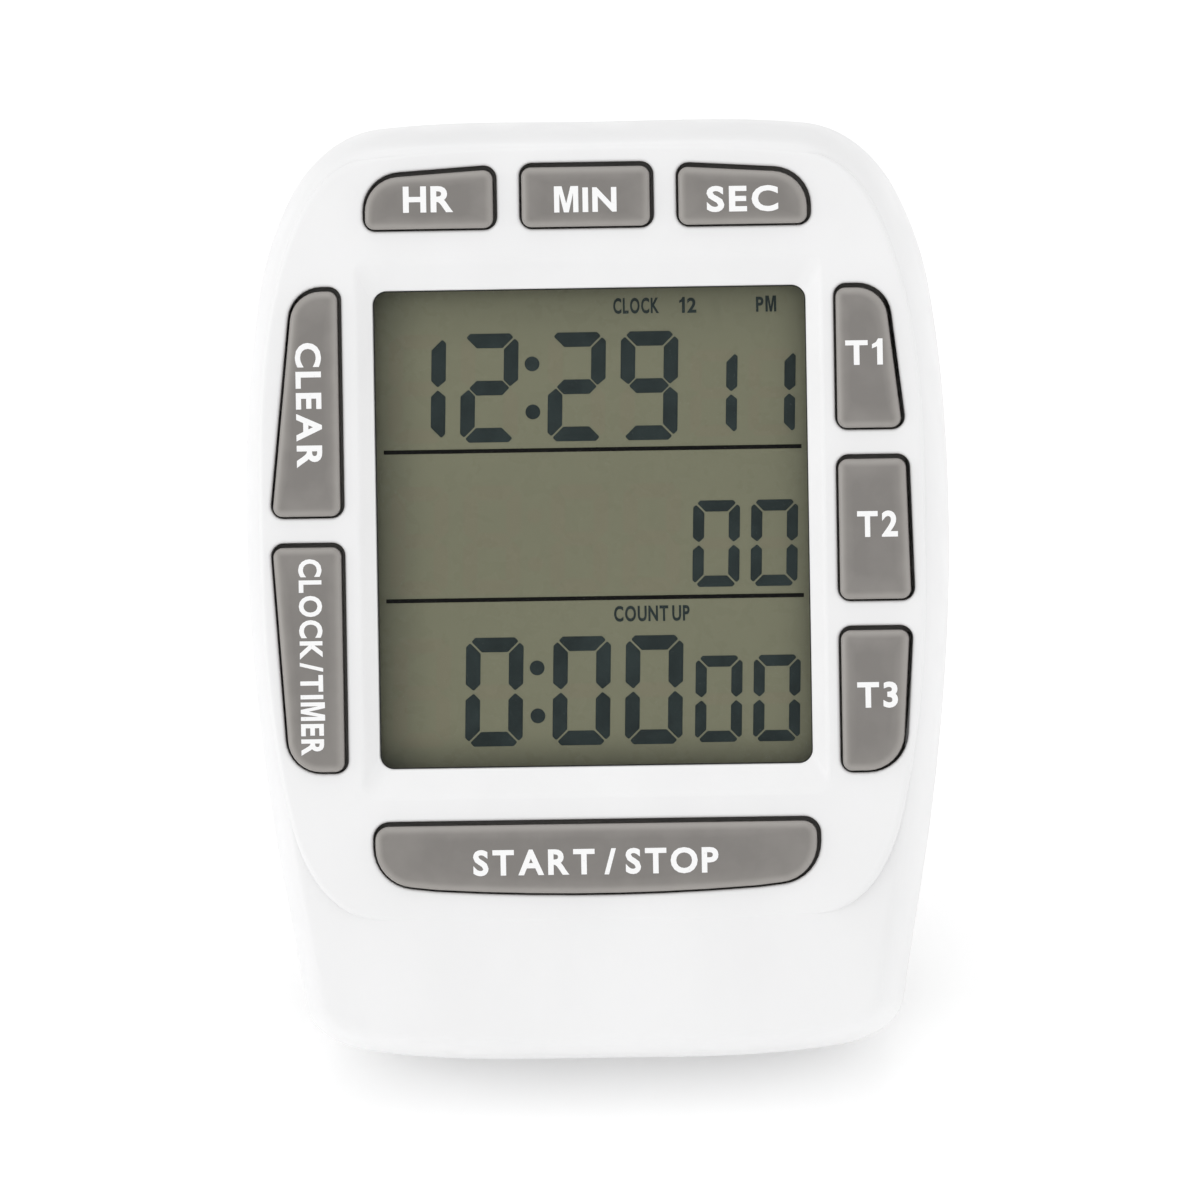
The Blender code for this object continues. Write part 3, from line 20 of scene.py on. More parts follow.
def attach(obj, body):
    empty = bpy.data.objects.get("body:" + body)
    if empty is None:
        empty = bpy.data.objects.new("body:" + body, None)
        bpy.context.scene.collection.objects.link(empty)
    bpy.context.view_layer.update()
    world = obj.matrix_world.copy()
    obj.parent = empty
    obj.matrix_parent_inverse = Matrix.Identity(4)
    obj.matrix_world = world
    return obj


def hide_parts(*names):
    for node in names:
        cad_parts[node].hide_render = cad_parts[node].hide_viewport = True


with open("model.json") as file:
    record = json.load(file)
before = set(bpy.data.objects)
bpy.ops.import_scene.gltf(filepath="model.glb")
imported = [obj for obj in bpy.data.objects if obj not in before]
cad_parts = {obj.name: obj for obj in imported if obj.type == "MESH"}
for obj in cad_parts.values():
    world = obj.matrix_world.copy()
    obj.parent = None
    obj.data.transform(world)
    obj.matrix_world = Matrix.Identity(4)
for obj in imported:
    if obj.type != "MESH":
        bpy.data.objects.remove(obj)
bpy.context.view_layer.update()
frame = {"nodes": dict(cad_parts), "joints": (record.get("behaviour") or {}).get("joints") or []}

LOG = logging.getLogger("lab_timer")

Point = tuple[float, float]
Ring = list[tuple[float, float, float]]
Colour = tuple[float, float, float]

MM = 0.001
PAST = 1.0  # how far a cutter runs past what it cuts, in millimetres
GAP = 0.3  # between pieces that touch or seat
WHOLE_TURN = 2 * math.pi
ORIGIN = (0.0, 0.0, 0.0)


# ---------------------------------------------------------------- outlines


class Outline:
    """A closed clockwise line in the plane of the face, as (x, z) points in millimetres."""

    def __init__(self, points: Sequence[Point]) -> None:
        """Keeps the points.

        Args:
            points: the line's points in order, clockwise seen from the front.
        """
        self.points: list[Point] = [(float(x), float(z)) for x, z in points]

    @classmethod
    def rounded(cls, corners: Sequence[tuple[float, float, float]], steps: int = 8) -> "Outline":
        """A line through rounded corners.

        Args:
            corners: each corner's x, z and radius, clockwise.
            steps: straight pieces in each corner.

        Returns:
            The outline.
        """
        points: list[Point] = []
        for index, (x, z, radius) in enumerate(corners):
            corner = Vector((x, z))
            before = (Vector(corners[index - 1][:2]) - corner).normalized()
            after = (Vector(corners[(index + 1) % len(corners)][:2]) - corner).normalized()
            half = before.angle(after) / 2
            centre = corner + (before + after).normalized() * radius / math.sin(half)
            first = corner + before * radius / math.tan(half) - centre
            sweep = math.pi - 2 * half
            for step in range(steps + 1):
                arm = first.copy()
                arm.rotate(Matrix.Rotation(-sweep * step / steps, 2))
                points.append(tuple(centre + arm))
        return cls(points)

    @classmethod
    def slab(
        cls, x0: float, x1: float, z0: float, z1: float, radius: float, steps: int = 8
    ) -> "Outline":
        """A rounded rectangle between two sides and two heights."""
        corners = [(x0, z1, radius), (x1, z1, radius), (x1, z0, radius), (x0, z0, radius)]
        return cls.rounded(corners, steps)

    @classmethod
    def disc(cls, x: float, z: float, radius: float, count: int = 48) -> "Outline":
        """A circle about one point."""
        turns = [WHOLE_TURN * step / count for step in range(count)]
        return cls([(x + radius * math.sin(t), z + radius * math.cos(t)) for t in turns])

    @classmethod
    def mirrored(cls, anchors: Sequence[tuple[float, float, float]], steps: int) -> "Outline":
        """Smooth spans through the anchors of a right half, with their mirror image.

        Args:
            anchors: x, z and heading in degrees, from top centre to bottom centre.
            steps: straight pieces in each span.

        Returns:
            The closed outline.
        """
        points = [Vector(anchors[0][:2])]
        for (x0, z0, turn0), (x1, z1, turn1) in zip(anchors, anchors[1:]):
            start, end = Vector((x0, z0)), Vector((x1, z1))
            bend = math.radians(turn1 - turn0)
            reach = (end - start).length / (3 * math.cos(bend / 4) ** 2)
            leave = Vector((math.cos(math.radians(turn0)), math.sin(math.radians(turn0))))
            arrive = Vector((math.cos(math.radians(turn1)), math.sin(math.radians(turn1))))
            for step in range(1, steps + 1):
                t = step / steps
                points.append(
                    start * (1 - t) ** 3
                    + (start + leave * reach) * 3 * t * (1 - t) ** 2
                    + (end - arrive * reach) * 3 * t * t * (1 - t)
                    + end * t**3
                )
        half = [(point.x, point.y) for point in points]
        return cls(half + [(-x, z) for x, z in reversed(half[1:-1])])

    def grown(self, amount: float, closed_side: int = 0) -> "Outline":
        """The line moved outwards.

        Args:
            amount: how far, or inwards when negative.
            closed_side: -1 or 1 along X for a side that stays where it is.

        Returns:
            The moved outline, with the same number of points.
        """
        moved: list[Point] = []
        for index, (x, z) in enumerate(self.points):
            here = Vector((x, z))
            before = here - Vector(self.points[index - 1])
            after = Vector(self.points[(index + 1) % len(self.points)]) - here
            along = (before.normalized() + after.normalized()).normalized()
            outward = Vector((-along.y, along.x))
            across = 0.0 if closed_side * outward.x > 0 else outward.x
            moved.append((x + amount * across, z + amount * outward.y))
        return Outline(moved)

    def ring(self, y: float) -> Ring:
        """The line's points at one depth."""
        return [(x, y, z) for x, z in self.points]

    def box(self) -> tuple[float, float, float, float]:
        """Lowest and highest x, then lowest and highest z."""
        xs, zs = zip(*self.points)
        return min(xs), max(xs), min(zs), max(zs)


# ---------------------------------------------------------------- mesh building


class Solids:
    """Closed bmesh solids in case millimetres."""

    @staticmethod
    def loft(rings: Sequence[Ring]) -> bmesh.types.BMesh:
        """A closed solid through rings that have the same number of points.

        Args:
            rings: the rings in order, which run the same way round.

        Returns:
            The solid.
        """
        mesh = bmesh.new()
        loops: list[list[bmesh.types.BMEdge]] = []
        for points in rings:
            corners = [mesh.verts.new(point) for point in points]
            pairs = zip(corners[-1:] + corners[:-1], corners)
            loops.append([mesh.edges.new(pair) for pair in pairs])
        for near, far in zip(loops, loops[1:]):
            bmesh.ops.bridge_loops(mesh, edges=near + far)
        for edges in (loops[0], loops[-1]):
            bmesh.ops.contextual_create(mesh, geom=edges)
        bmesh.ops.recalc_face_normals(mesh, faces=mesh.faces)
        mesh.verts.index_update()
        return mesh

    @staticmethod
    def prism(outline: Outline, y0: float, y1: float) -> bmesh.types.BMesh:
        """A straight solid between two depths."""
        return Solids.loft([outline.ring(y0), outline.ring(y1)])

    @staticmethod
    def box(
        x0: float, x1: float, y0: float, y1: float, z0: float, z1: float, edge: float = 0.0
    ) -> bmesh.types.BMesh:
        """A box, with its edges rounded when edge is above zero.

        Args:
            x0: left side.
            x1: right side.
            y0: front.
            y1: back.
            z0: foot.
            z1: top.
            edge: how far the edges are rounded.

        Returns:
            The box.
        """
        mesh = bmesh.new()
        middle = Matrix.Translation(((x0 + x1) / 2, (y0 + y1) / 2, (z0 + z1) / 2))
        size = Matrix.Diagonal((x1 - x0, y1 - y0, z1 - z0, 1.0))
        bmesh.ops.create_cube(mesh, size=1.0, matrix=middle @ size)
        if edge > 0:
            bmesh.ops.bevel(
                mesh,
                geom=mesh.edges[:],
                offset=edge,
                affect="EDGES",
                segments=3,
                profile=0.5,
                material=-1,
            )
        return mesh

    @staticmethod
    def turned(profile: Sequence[Point], count: int = 48) -> bmesh.types.BMesh:
        """A solid spun about the X axis.

        Args:
            profile: (x, radius) points whose first and last radius are 0.
            count: steps round the axis.

        Returns:
            The closed solid.
        """
        mesh = bmesh.new()
        corners = [mesh.verts.new((x, radius, 0.0)) for x, radius in profile]
        line = [mesh.edges.new(pair) for pair in zip(corners, corners[1:])]
        bmesh.ops.spin(
            mesh,
            geom=corners + line,
            cent=ORIGIN,
            axis=(1.0, 0.0, 0.0),
            angle=WHOLE_TURN,
            steps=count,
            use_merge=True,
        )
        bmesh.ops.remove_doubles(mesh, verts=mesh.verts, dist=1e-5)
        bmesh.ops.recalc_face_normals(mesh, faces=mesh.faces)
        return mesh

    @staticmethod
    def rod(x0: float, x1: float, radius: float, count: int = 48) -> bmesh.types.BMesh:
        """A straight round rod along X."""
        return Solids.turned([(x0, 0.0), (x0, radius), (x1, radius), (x1, 0.0)], count)

    @staticmethod
    def moved(mesh: bmesh.types.BMesh, x: float, y: float, z: float) -> bmesh.types.BMesh:
        """The same mesh, shifted."""
        bmesh.ops.translate(mesh, verts=mesh.verts, vec=(x, y, z))
        return mesh

    @staticmethod
    def gathered(meshes: Iterable[bmesh.types.BMesh]) -> bmesh.types.BMesh:
        """One mesh that holds several separate ones.

        Args:
            meshes: the meshes, which are used up.

        Returns:
            The one mesh.
        """
        whole = bmesh.new()
        for mesh in meshes:
            piece = bpy.data.meshes.new("gathered")
            mesh.to_mesh(piece)
            mesh.free()
            whole.from_mesh(piece)
            bpy.data.meshes.remove(piece)
        return whole


class Carving:
    """A solid shaped by exact Boolean steps, which are worked out together at the end."""

    def __init__(self, base: bmesh.types.BMesh) -> None:
        """Starts from one closed solid.

        Args:
            base: the solid to shape, which is used up.
        """
        self._body = self._holder(base)
        self._tools: list[bpy.types.Object] = []

    @staticmethod
    def _holder(mesh: bmesh.types.BMesh) -> bpy.types.Object:
        """A temporary object round a bmesh.

        Args:
            mesh: the bmesh, which is used up.

        Returns:
            The object.
        """
        data = bpy.data.meshes.new("carving")
        mesh.to_mesh(data)
        mesh.free()
        made = bpy.data.objects.new("carving", data)
        bpy.context.scene.collection.objects.link(made)
        return made

    def _step(self, mesh: bmesh.types.BMesh, operation: str) -> "Carving":
        """Adds one Boolean step.

        Args:
            mesh: the solid that acts on the body.
            operation: UNION or DIFFERENCE.

        Returns:
            The carving itself.
        """
        tool = self._holder(mesh)
        self._tools.append(tool)
        step = self._body.modifiers.new("step", "BOOLEAN")
        step.operation = operation
        step.solver = "EXACT"
        step.object = tool
        return self

    def add(self, mesh: bmesh.types.BMesh) -> "Carving":
        """Unites a solid with the body."""
        return self._step(mesh, "UNION")

    def cut(self, mesh: bmesh.types.BMesh) -> "Carving":
        """Removes a solid from the body."""
        return self._step(mesh, "DIFFERENCE")

    def finished(self) -> bmesh.types.BMesh:
        """The shaped solid, with the helpers removed.

        Returns:
            The solid.
        """
        graph = bpy.context.evaluated_depsgraph_get()
        shown = self._body.evaluated_get(graph)
        result = bmesh.new()
        result.from_mesh(shown.to_mesh())
        shown.to_mesh_clear()
        for made in [self._body, *self._tools]:
            data = made.data
            bpy.data.objects.remove(made)
            bpy.data.meshes.remove(data)
        bmesh.ops.dissolve_degenerate(result, dist=1e-5, edges=result.edges)
        return result


class CaseAxes:
    """Takes case millimetres to the frame's metres."""

    def __init__(self, joints: Sequence[dict], pivot: tuple[float, float, float]) -> None:
        """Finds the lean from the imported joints.

        Args:
            joints: the record's joints.
            pivot: the stand's pivot in case millimetres.
        """
        found = {joint["name"]: joint for joint in joints}
        back = Vector(found["hour_key_press"]["axis"]).normalized()
        across = Vector((1.0, 0.0, 0.0))
        up = across.cross(back)
        turn = Matrix((across, back, up)).transposed()
        corner = Vector(found["tilt_stand_hinge"]["pos_m"]) - turn @ (Vector(pivot) * MM)
        self.turn = turn.to_4x4()
        self.matrix = Matrix.Translation(corner) @ self.turn @ Matrix.Scale(MM, 4)
        self.corner = corner

    def point(self, x: float, y: float, z: float) -> Vector:
        """A place in the frame."""
        return self.matrix @ Vector((x, y, z))


# ---------------------------------------------------------------- finishes


class Shading:
    """A material's node tree while it is being wired."""

    def __init__(self, name: str, colour: Colour, roughness: float, metallic: float = 0.0) -> None:
        """Makes the material with its Principled shader.

        Args:
            name: the material's name.
            colour: base colour, linear.
            roughness: surface roughness.
            metallic: 0 for plastics and glass, 1 for metals.
        """
        self.material = bpy.data.materials.new(name)
        self.material.use_nodes = True
        self.nodes = self.material.node_tree.nodes
        self.links = self.material.node_tree.links
        self.shader = self.nodes["Principled BSDF"]
        self.shader.inputs["Base Color"].default_value = (*colour, 1.0)
        self.shader.inputs["Roughness"].default_value = roughness
        self.shader.inputs["Metallic"].default_value = metallic
        self.place = self.nodes.new("ShaderNodeTexCoord").outputs["Object"]

    def feed(self, socket: str, source: bpy.types.NodeSocket) -> None:
        """Links a source to one of the shader's sockets."""
        self.links.new(source, self.shader.inputs[socket])

    def turned_place(self, axes: CaseAxes) -> bpy.types.NodeSocket:
        """Object coordinates brought back to the case's own axes, in metres.

        Args:
            axes: the case's axes.

        Returns:
            The coordinates.
        """
        node = self.nodes.new("ShaderNodeMapping")
        back = axes.turn.inverted()
        node.inputs["Rotation"].default_value = back.to_euler()
        node.inputs["Location"].default_value = -(back @ axes.corner)
        self.links.new(self.place, node.inputs["Vector"])
        return node.outputs["Vector"]

    def noise(
        self, size: float, detail: float = 3.0, stretch: tuple[float, float, float] | None = None
    ) -> bpy.types.NodeSocket:
        """Soft noise.

        Args:
            size: the pattern's grain in millimetres.
            detail: layers of finer noise.
            stretch: how much the pattern is scaled along each axis.

        Returns:
            The noise value.
        """
        source = self.place
        if stretch:
            mapping = self.nodes.new("ShaderNodeMapping")
            mapping.inputs["Scale"].default_value = stretch
            self.links.new(source, mapping.inputs["Vector"])
            source = mapping.outputs["Vector"]
        node = self.nodes.new("ShaderNodeTexNoise")
        node.inputs["Scale"].default_value = 1.0 / (size * MM)
        node.inputs["Detail"].default_value = detail
        self.links.new(source, node.inputs["Vector"])
        return node.outputs["Fac"]

    def span(
        self, source: bpy.types.NodeSocket, low: float, high: float, out0: float, out1: float
    ) -> bpy.types.NodeSocket:
        """A value taken smoothly from one range to another.

        Args:
            source: the value.
            low: where the first range starts.
            high: where it ends.
            out0: what low becomes.
            out1: what high becomes.

        Returns:
            The new value.
        """
        node = self.nodes.new("ShaderNodeMapRange")
        node.interpolation_type = "SMOOTHSTEP"
        for name, value in (
            ("From Min", low),
            ("From Max", high),
            ("To Min", out0),
            ("To Max", out1),
        ):
            node.inputs[name].default_value = value
        self.links.new(source, node.inputs["Value"])
        return node.outputs["Result"]

    def mottle(self, pattern: bpy.types.NodeSocket, colour: Colour, change: float) -> None:
        """Lets the base colour drift darker and lighter with a pattern.

        Args:
            pattern: the pattern's value.
            colour: the colour in the middle of its drift.
            change: how far it drifts, as a share.
        """
        share = self.span(pattern, 0.3, 0.7, 0.0, 1.0)
        self.feed(
            "Base Color", self.blend(share, tinted(colour, 1 - change), tinted(colour, 1 + change))
        )

    def sum(self, *sources: bpy.types.NodeSocket) -> bpy.types.NodeSocket:
        """Several values added together.

        Args:
            sources: the values.

        Returns:
            Their sum.
        """
        total = sources[0]
        for source in sources[1:]:
            node = self.nodes.new("ShaderNodeMath")
            self.links.new(total, node.inputs[0])
            self.links.new(source, node.inputs[1])
            total = node.outputs["Value"]
        return total

    def blend(
        self, share: bpy.types.NodeSocket, first: Colour, second: Colour
    ) -> bpy.types.NodeSocket:
        """A colour between two, by share.

        Args:
            share: 0 for the first colour and 1 for the second.
            first: a linear colour.
            second: another.

        Returns:
            The colour.
        """
        node = self.nodes.new("ShaderNodeMix")
        node.data_type = "RGBA"
        for socket in node.inputs:
            if socket.name == "A" and socket.type == "RGBA":
                socket.default_value = (*first, 1.0)
            if socket.name == "B" and socket.type == "RGBA":
                socket.default_value = (*second, 1.0)
        self.links.new(share, node.inputs["Factor"])
        return next(o for o in node.outputs if o.type == "RGBA")

    def relief(self, height: bpy.types.NodeSocket, depth: float, strength: float = 1.0) -> None:
        """Bump from a height.

        Args:
            height: the height value, about 0 to 1.
            depth: what a height of 1 stands for, in millimetres.
            strength: share of the effect.
        """
        node = self.nodes.new("ShaderNodeBump")
        node.inputs["Strength"].default_value = strength
        node.inputs["Distance"].default_value = depth * MM
        self.links.new(height, node.inputs["Height"])
        self.feed("Normal", node.outputs["Normal"])


def tinted(colour: Colour, amount: float) -> Colour:
    """A colour made lighter or darker by a share."""
    return tuple(min(1.0, channel * amount) for channel in colour)


@dataclass(frozen=True)
class MouldedPlastic:
    """Injection-moulded plastic with a fine spark-eroded grain, faint flow marks and handling."""

    name: str
    colour: Colour
    roughness: float = 0.4
    grain: float = 0.22
    relief: float = 0.004
    mottle: float = 0.012

    def material(self, axes: CaseAxes) -> bpy.types.Material:
        """Builds the finish.

        Args:
            axes: the case's axes; not used here.

        Returns:
            The material.
        """
        shading = Shading(self.name, self.colour, self.roughness)
        flow = shading.noise(9.0, 4.0, stretch=(1.0, 1.0, 0.45))
        shading.mottle(flow, self.colour, self.mottle)
        handled = shading.noise(3.2, 5.0)
        shading.feed(
            "Roughness",
            shading.span(handled, 0.35, 0.7, self.roughness - 0.05, self.roughness + 0.06),
        )
        shading.relief(shading.noise(self.grain, 2.0), self.relief)
        shading.shader.inputs["IOR"].default_value = 1.5
        return shading.material


@dataclass(frozen=True)
class KeyRubber:
    """Grey key rubber with a painted highlight along its rounded rim, by the rim attribute, and
    worn patches.
    """

    name: str
    colour: Colour
    # colour of the painted highlight at the rim
    rim: Colour
    roughness: float = 0.38

    def material(self, axes: CaseAxes) -> bpy.types.Material:
        """Builds the finish.

        Args:
            axes: the case's axes; not used here.

        Returns:
            The material.
        """
        shading = Shading(self.name, self.colour, self.roughness)
        # the rim attribute mixes in the painted rim highlight; the worn noise varies it at random
        rim = shading.nodes.new("ShaderNodeAttribute")
        rim.attribute_name = RIM_HIGHLIGHT
        worn = shading.noise(2.4, 4.0)
        share = shading.sum(rim.outputs["Fac"], shading.span(worn, 0.3, 0.7, -0.06, 0.1))
        shading.feed("Base Color", shading.blend(share, self.colour, self.rim))
        shading.feed(
            "Roughness",
            shading.span(worn, 0.35, 0.7, self.roughness - 0.05, self.roughness + 0.07),
        )
        shading.relief(shading.noise(0.22, 2.0), 0.005)
        return shading.material


@dataclass(frozen=True)
class PrintedInk:
    """Pad-printed ink, matt, with slightly uneven cover."""

    name: str
    colour: Colour
    under: Colour

    def material(self, axes: CaseAxes) -> bpy.types.Material:
        """Builds the finish.

        Args:
            axes: the case's axes; not used here.

        Returns:
            The material.
        """
        shading = Shading(self.name, self.colour, 0.55)
        cover = shading.noise(0.35, 3.0)
        shading.feed(
            "Base Color",
            shading.blend(shading.span(cover, 0.2, 0.36, 0.25, 0.0), self.colour, self.under),
        )
        shading.feed("Roughness", shading.span(cover, 0.3, 0.7, 0.5, 0.62))
        shading.relief(cover, 0.004)
        return shading.material


@dataclass(frozen=True)
class DisplayField:
    """The unlit ground of a reflective liquid-crystal cell: olive, with painted shade deepening
    towards its edges, where the window's walls shade it.
    """

    name: str
    middle: Colour
    # colour of the painted shade at the edges
    edge: Colour
    half_width: float
    low: float
    high: float
    roughness: float = 0.28

    def material(self, axes: CaseAxes) -> bpy.types.Material:
        """Builds the finish.

        Args:
            axes: the case's axes.

        Returns:
            The material.
        """
        shading = Shading(self.name, self.middle, self.roughness)
        place = shading.turned_place(axes)
        split = shading.nodes.new("ShaderNodeSeparateXYZ")
        shading.links.new(place, split.inputs["Vector"])
        across, up = split.outputs["X"], split.outputs["Z"]
        half, low, high = self.half_width * MM, self.low * MM, self.high * MM
        # the painted shade's reach in from the edges: 1.6 times this on the left and 2.2 times at
        # the top
        edge = 3.5 * MM
        shade = shading.sum(
            shading.span(across, -half, -half + 1.6 * edge, 0.57, 0.0),
            shading.span(across, half - edge, half, 0.0, 0.22),
            shading.span(up, low, low + edge, 0.49, 0.0),
            shading.span(up, high - 2.2 * edge, high, 0.0, 0.22),
            shading.span(shading.noise(24.0, 1.0), 0.2, 0.8, 0.0, 0.1),
        )
        painted_shade_share = shading.span(shade, 0.0, 1.3, 0.0, 1.0)
        painted_shade_share.node.interpolation_type = "LINEAR"
        shading.feed("Base Color", shading.blend(painted_shade_share, self.middle, self.edge))
        shading.feed("Roughness", shading.span(shading.noise(2.0), 0.3, 0.7, 0.24, 0.34))
        shading.relief(shading.noise(0.12, 1.0), 0.002)
        shading.shader.inputs["Specular IOR Level"].default_value = 0.1
        return shading.material


@dataclass(frozen=True)
class ClearPane:
    """A thin clear pane that mirrors at its surface and lets the rest through."""

    name: str
    square_on: float = 0.0003  # share mirrored when looked at squarely
    falloff: float = 5.0

    def material(self, axes: CaseAxes) -> bpy.types.Material:
        """Builds the finish.

        Args:
            axes: the case's axes; not used here.

        Returns:
            The material.
        """
        shading = Shading(self.name, (1.0, 1.0, 1.0), 0.06, 1.0)
        film = shading.noise(4.0, 4.0)
        shading.feed("Roughness", shading.span(film, 0.3, 0.7, 0.05, 0.11))
        glance = shading.nodes.new("ShaderNodeLayerWeight")
        glance.inputs["Blend"].default_value = 0.5
        steep = shading.nodes.new("ShaderNodeMath")
        steep.operation = "POWER"
        steep.inputs[1].default_value = self.falloff
        shading.links.new(glance.outputs["Facing"], steep.inputs[0])
        shading.feed("Alpha", shading.span(steep.outputs["Value"], 0.0, 1.0, self.square_on, 1.0))
        shading.relief(shading.noise(20.0, 1.0), 0.004)
        return shading.material


@dataclass(frozen=True)
class BareMetal:
    """Plated or bare metal with drawn streaks, small pits and dulled patches."""

    name: str
    colour: Colour
    roughness: float = 0.32
    streak: tuple[float, float, float] = (1.0, 1.0, 0.2)

    def material(self, axes: CaseAxes) -> bpy.types.Material:
        """Builds the finish.

        Args:
            axes: the case's axes; not used here.

        Returns:
            The material.
        """
        shading = Shading(self.name, self.colour, self.roughness, 1.0)
        dull = shading.noise(1.4, 4.0)
        shading.feed(
            "Base Color",
            shading.blend(
                shading.span(dull, 0.35, 0.7, 0.0, 1.0), tinted(self.colour, 0.8), self.colour
            ),
        )
        streaks = shading.noise(0.15, 3.0, stretch=self.streak)
        shading.feed(
            "Roughness",
            shading.span(
                shading.sum(dull, streaks), 0.7, 1.3, self.roughness - 0.08, self.roughness + 0.15
            ),
        )
        shading.relief(streaks, 0.006)
        return shading.material


@dataclass(frozen=True)
class SoftCoat:
    """Rubber, silicone, lacquer, ceramic or wire sheath: matt with a fine uneven surface."""

    name: str
    colour: Colour
    roughness: float = 0.6
    patch: float = 3.0
    grain: float = 0.3
    relief: float = 0.008
    change: float = 0.12
    gloss: float = 0.5

    def material(self, axes: CaseAxes) -> bpy.types.Material:
        """Builds the finish.

        Args:
            axes: the case's axes; not used here.

        Returns:
            The material.
        """
        shading = Shading(self.name, self.colour, self.roughness)
        patches = shading.noise(self.patch, 4.0)
        shading.mottle(patches, self.colour, self.change)
        shading.feed(
            "Roughness",
            shading.span(patches, 0.3, 0.7, self.roughness - 0.08, self.roughness + 0.08),
        )
        shading.relief(shading.noise(self.grain, 3.0), self.relief)
        shading.shader.inputs["Specular IOR Level"].default_value = self.gloss
        return shading.material


RIM_HIGHLIGHT = "rim"  # name of the key caps' point attribute for the painted rim highlight: 0 in the middle, 1 at the rim
WHITE = (0.842, 0.842, 0.845)
KEY_GREY = (0.196, 0.184, 0.172)

DISPLAY_BOUNDS = {"half_width": 20.3, "low": -16.35, "high": 28.45}

FINISHES = {
    "white": MouldedPlastic("white_case_plastic", WHITE, roughness=0.36),
    # the second colour is the painted highlight along the keys' rims
    "key": KeyRubber("grey_key_rubber", KEY_GREY, (0.315, 0.297, 0.278)),
    "legend": PrintedInk("white_legend_ink", (0.9, 0.9, 0.9), KEY_GREY),
    # edge: the painted shade towards the window's walls
    "ground": DisplayField(
        "display_ground",
        middle=(0.184, 0.186, 0.126),
        edge=(0.066, 0.07, 0.053),
        **DISPLAY_BOUNDS,
    ),
    "segment": SoftCoat(
        "lit_segment", (0.022, 0.031, 0.031), 0.4, change=0.15, relief=0.002, gloss=0.1
    ),
    # the unlit segments carry the same painted edge shade as the ground
    "ghost": DisplayField(
        "unlit_segment",
        middle=(0.189, 0.182, 0.125),
        edge=(0.068, 0.068, 0.052),
        **DISPLAY_BOUNDS,
    ),
    "divider": SoftCoat(
        "black_divider_ink", (0.003, 0.003, 0.0025), 0.5, change=0.3, relief=0.002, gloss=0.1
    ),
    "pane": ClearPane("clear_window"),
    "dark_ring": SoftCoat("black_window_ring", (0.02, 0.02, 0.018), 0.8, grain=0.2, relief=0.02),
    "steel": BareMetal("zinc_steel", (0.6, 0.6, 0.61)),
    "nickel": BareMetal("nickel_plate", (0.66, 0.63, 0.57), 0.26),
    "brass": BareMetal("sounder_brass", (0.72, 0.52, 0.22), 0.3),
    "foil": BareMetal("reflector_foil", (0.7, 0.7, 0.67), 0.35),
    "ferrite": SoftCoat("ferrite_magnet", (0.035, 0.035, 0.038), 0.5, 1.2, 0.25, 0.02, 0.25),
    "holder": SoftCoat("holder_plastic", (0.72, 0.72, 0.7), 0.45),
    "strip": SoftCoat("contact_strip_rubber", (0.03, 0.03, 0.03), 0.7),
    "silicone": SoftCoat("keypad_silicone", (0.5, 0.5, 0.48), 0.55),
    "board": SoftCoat("board_lacquer", (0.02, 0.15, 0.06), 0.3, 1.0, 0.5, 0.01, 0.25),
    "epoxy": SoftCoat("controller_epoxy", (0.01, 0.01, 0.01), 0.22, 2.0, 0.8, 0.02, 0.3),
    "sleeve": SoftCoat("battery_sleeve", (0.05, 0.06, 0.075), 0.3, 4.0, 0.6, 0.004, 0.1),
    "band": SoftCoat("battery_band", (0.55, 0.33, 0.1), 0.3, 4.0, 0.6, 0.004, 0.08),
    "ceramic": SoftCoat("sounder_ceramic", (0.75, 0.73, 0.66), 0.5),
    "black_wire": SoftCoat("black_wire_sheath", (0.02, 0.02, 0.02), 0.45),
    "red_wire": SoftCoat("red_wire_sheath", (0.45, 0.02, 0.02), 0.45),
}


# ---------------------------------------------------------------- the object's own sizes


class Reading(Enum):
    """Which way a legend reads."""

    ACROSS = "across"
    DOWN = "down"


@dataclass(frozen=True)
class Legend:
    """The printed word on one key, its centre and its width along the reading."""

    words: str
    x: float
    z: float
    width: float
    reading: Reading = Reading.ACROSS
    height: float = 2.45


@dataclass(frozen=True)
class KeyShape:
    """One key: its hole in the face, the side where its flange is closed off, and its legend."""

    name: str
    hole: Outline
    closed_side: int
    legend: Legend


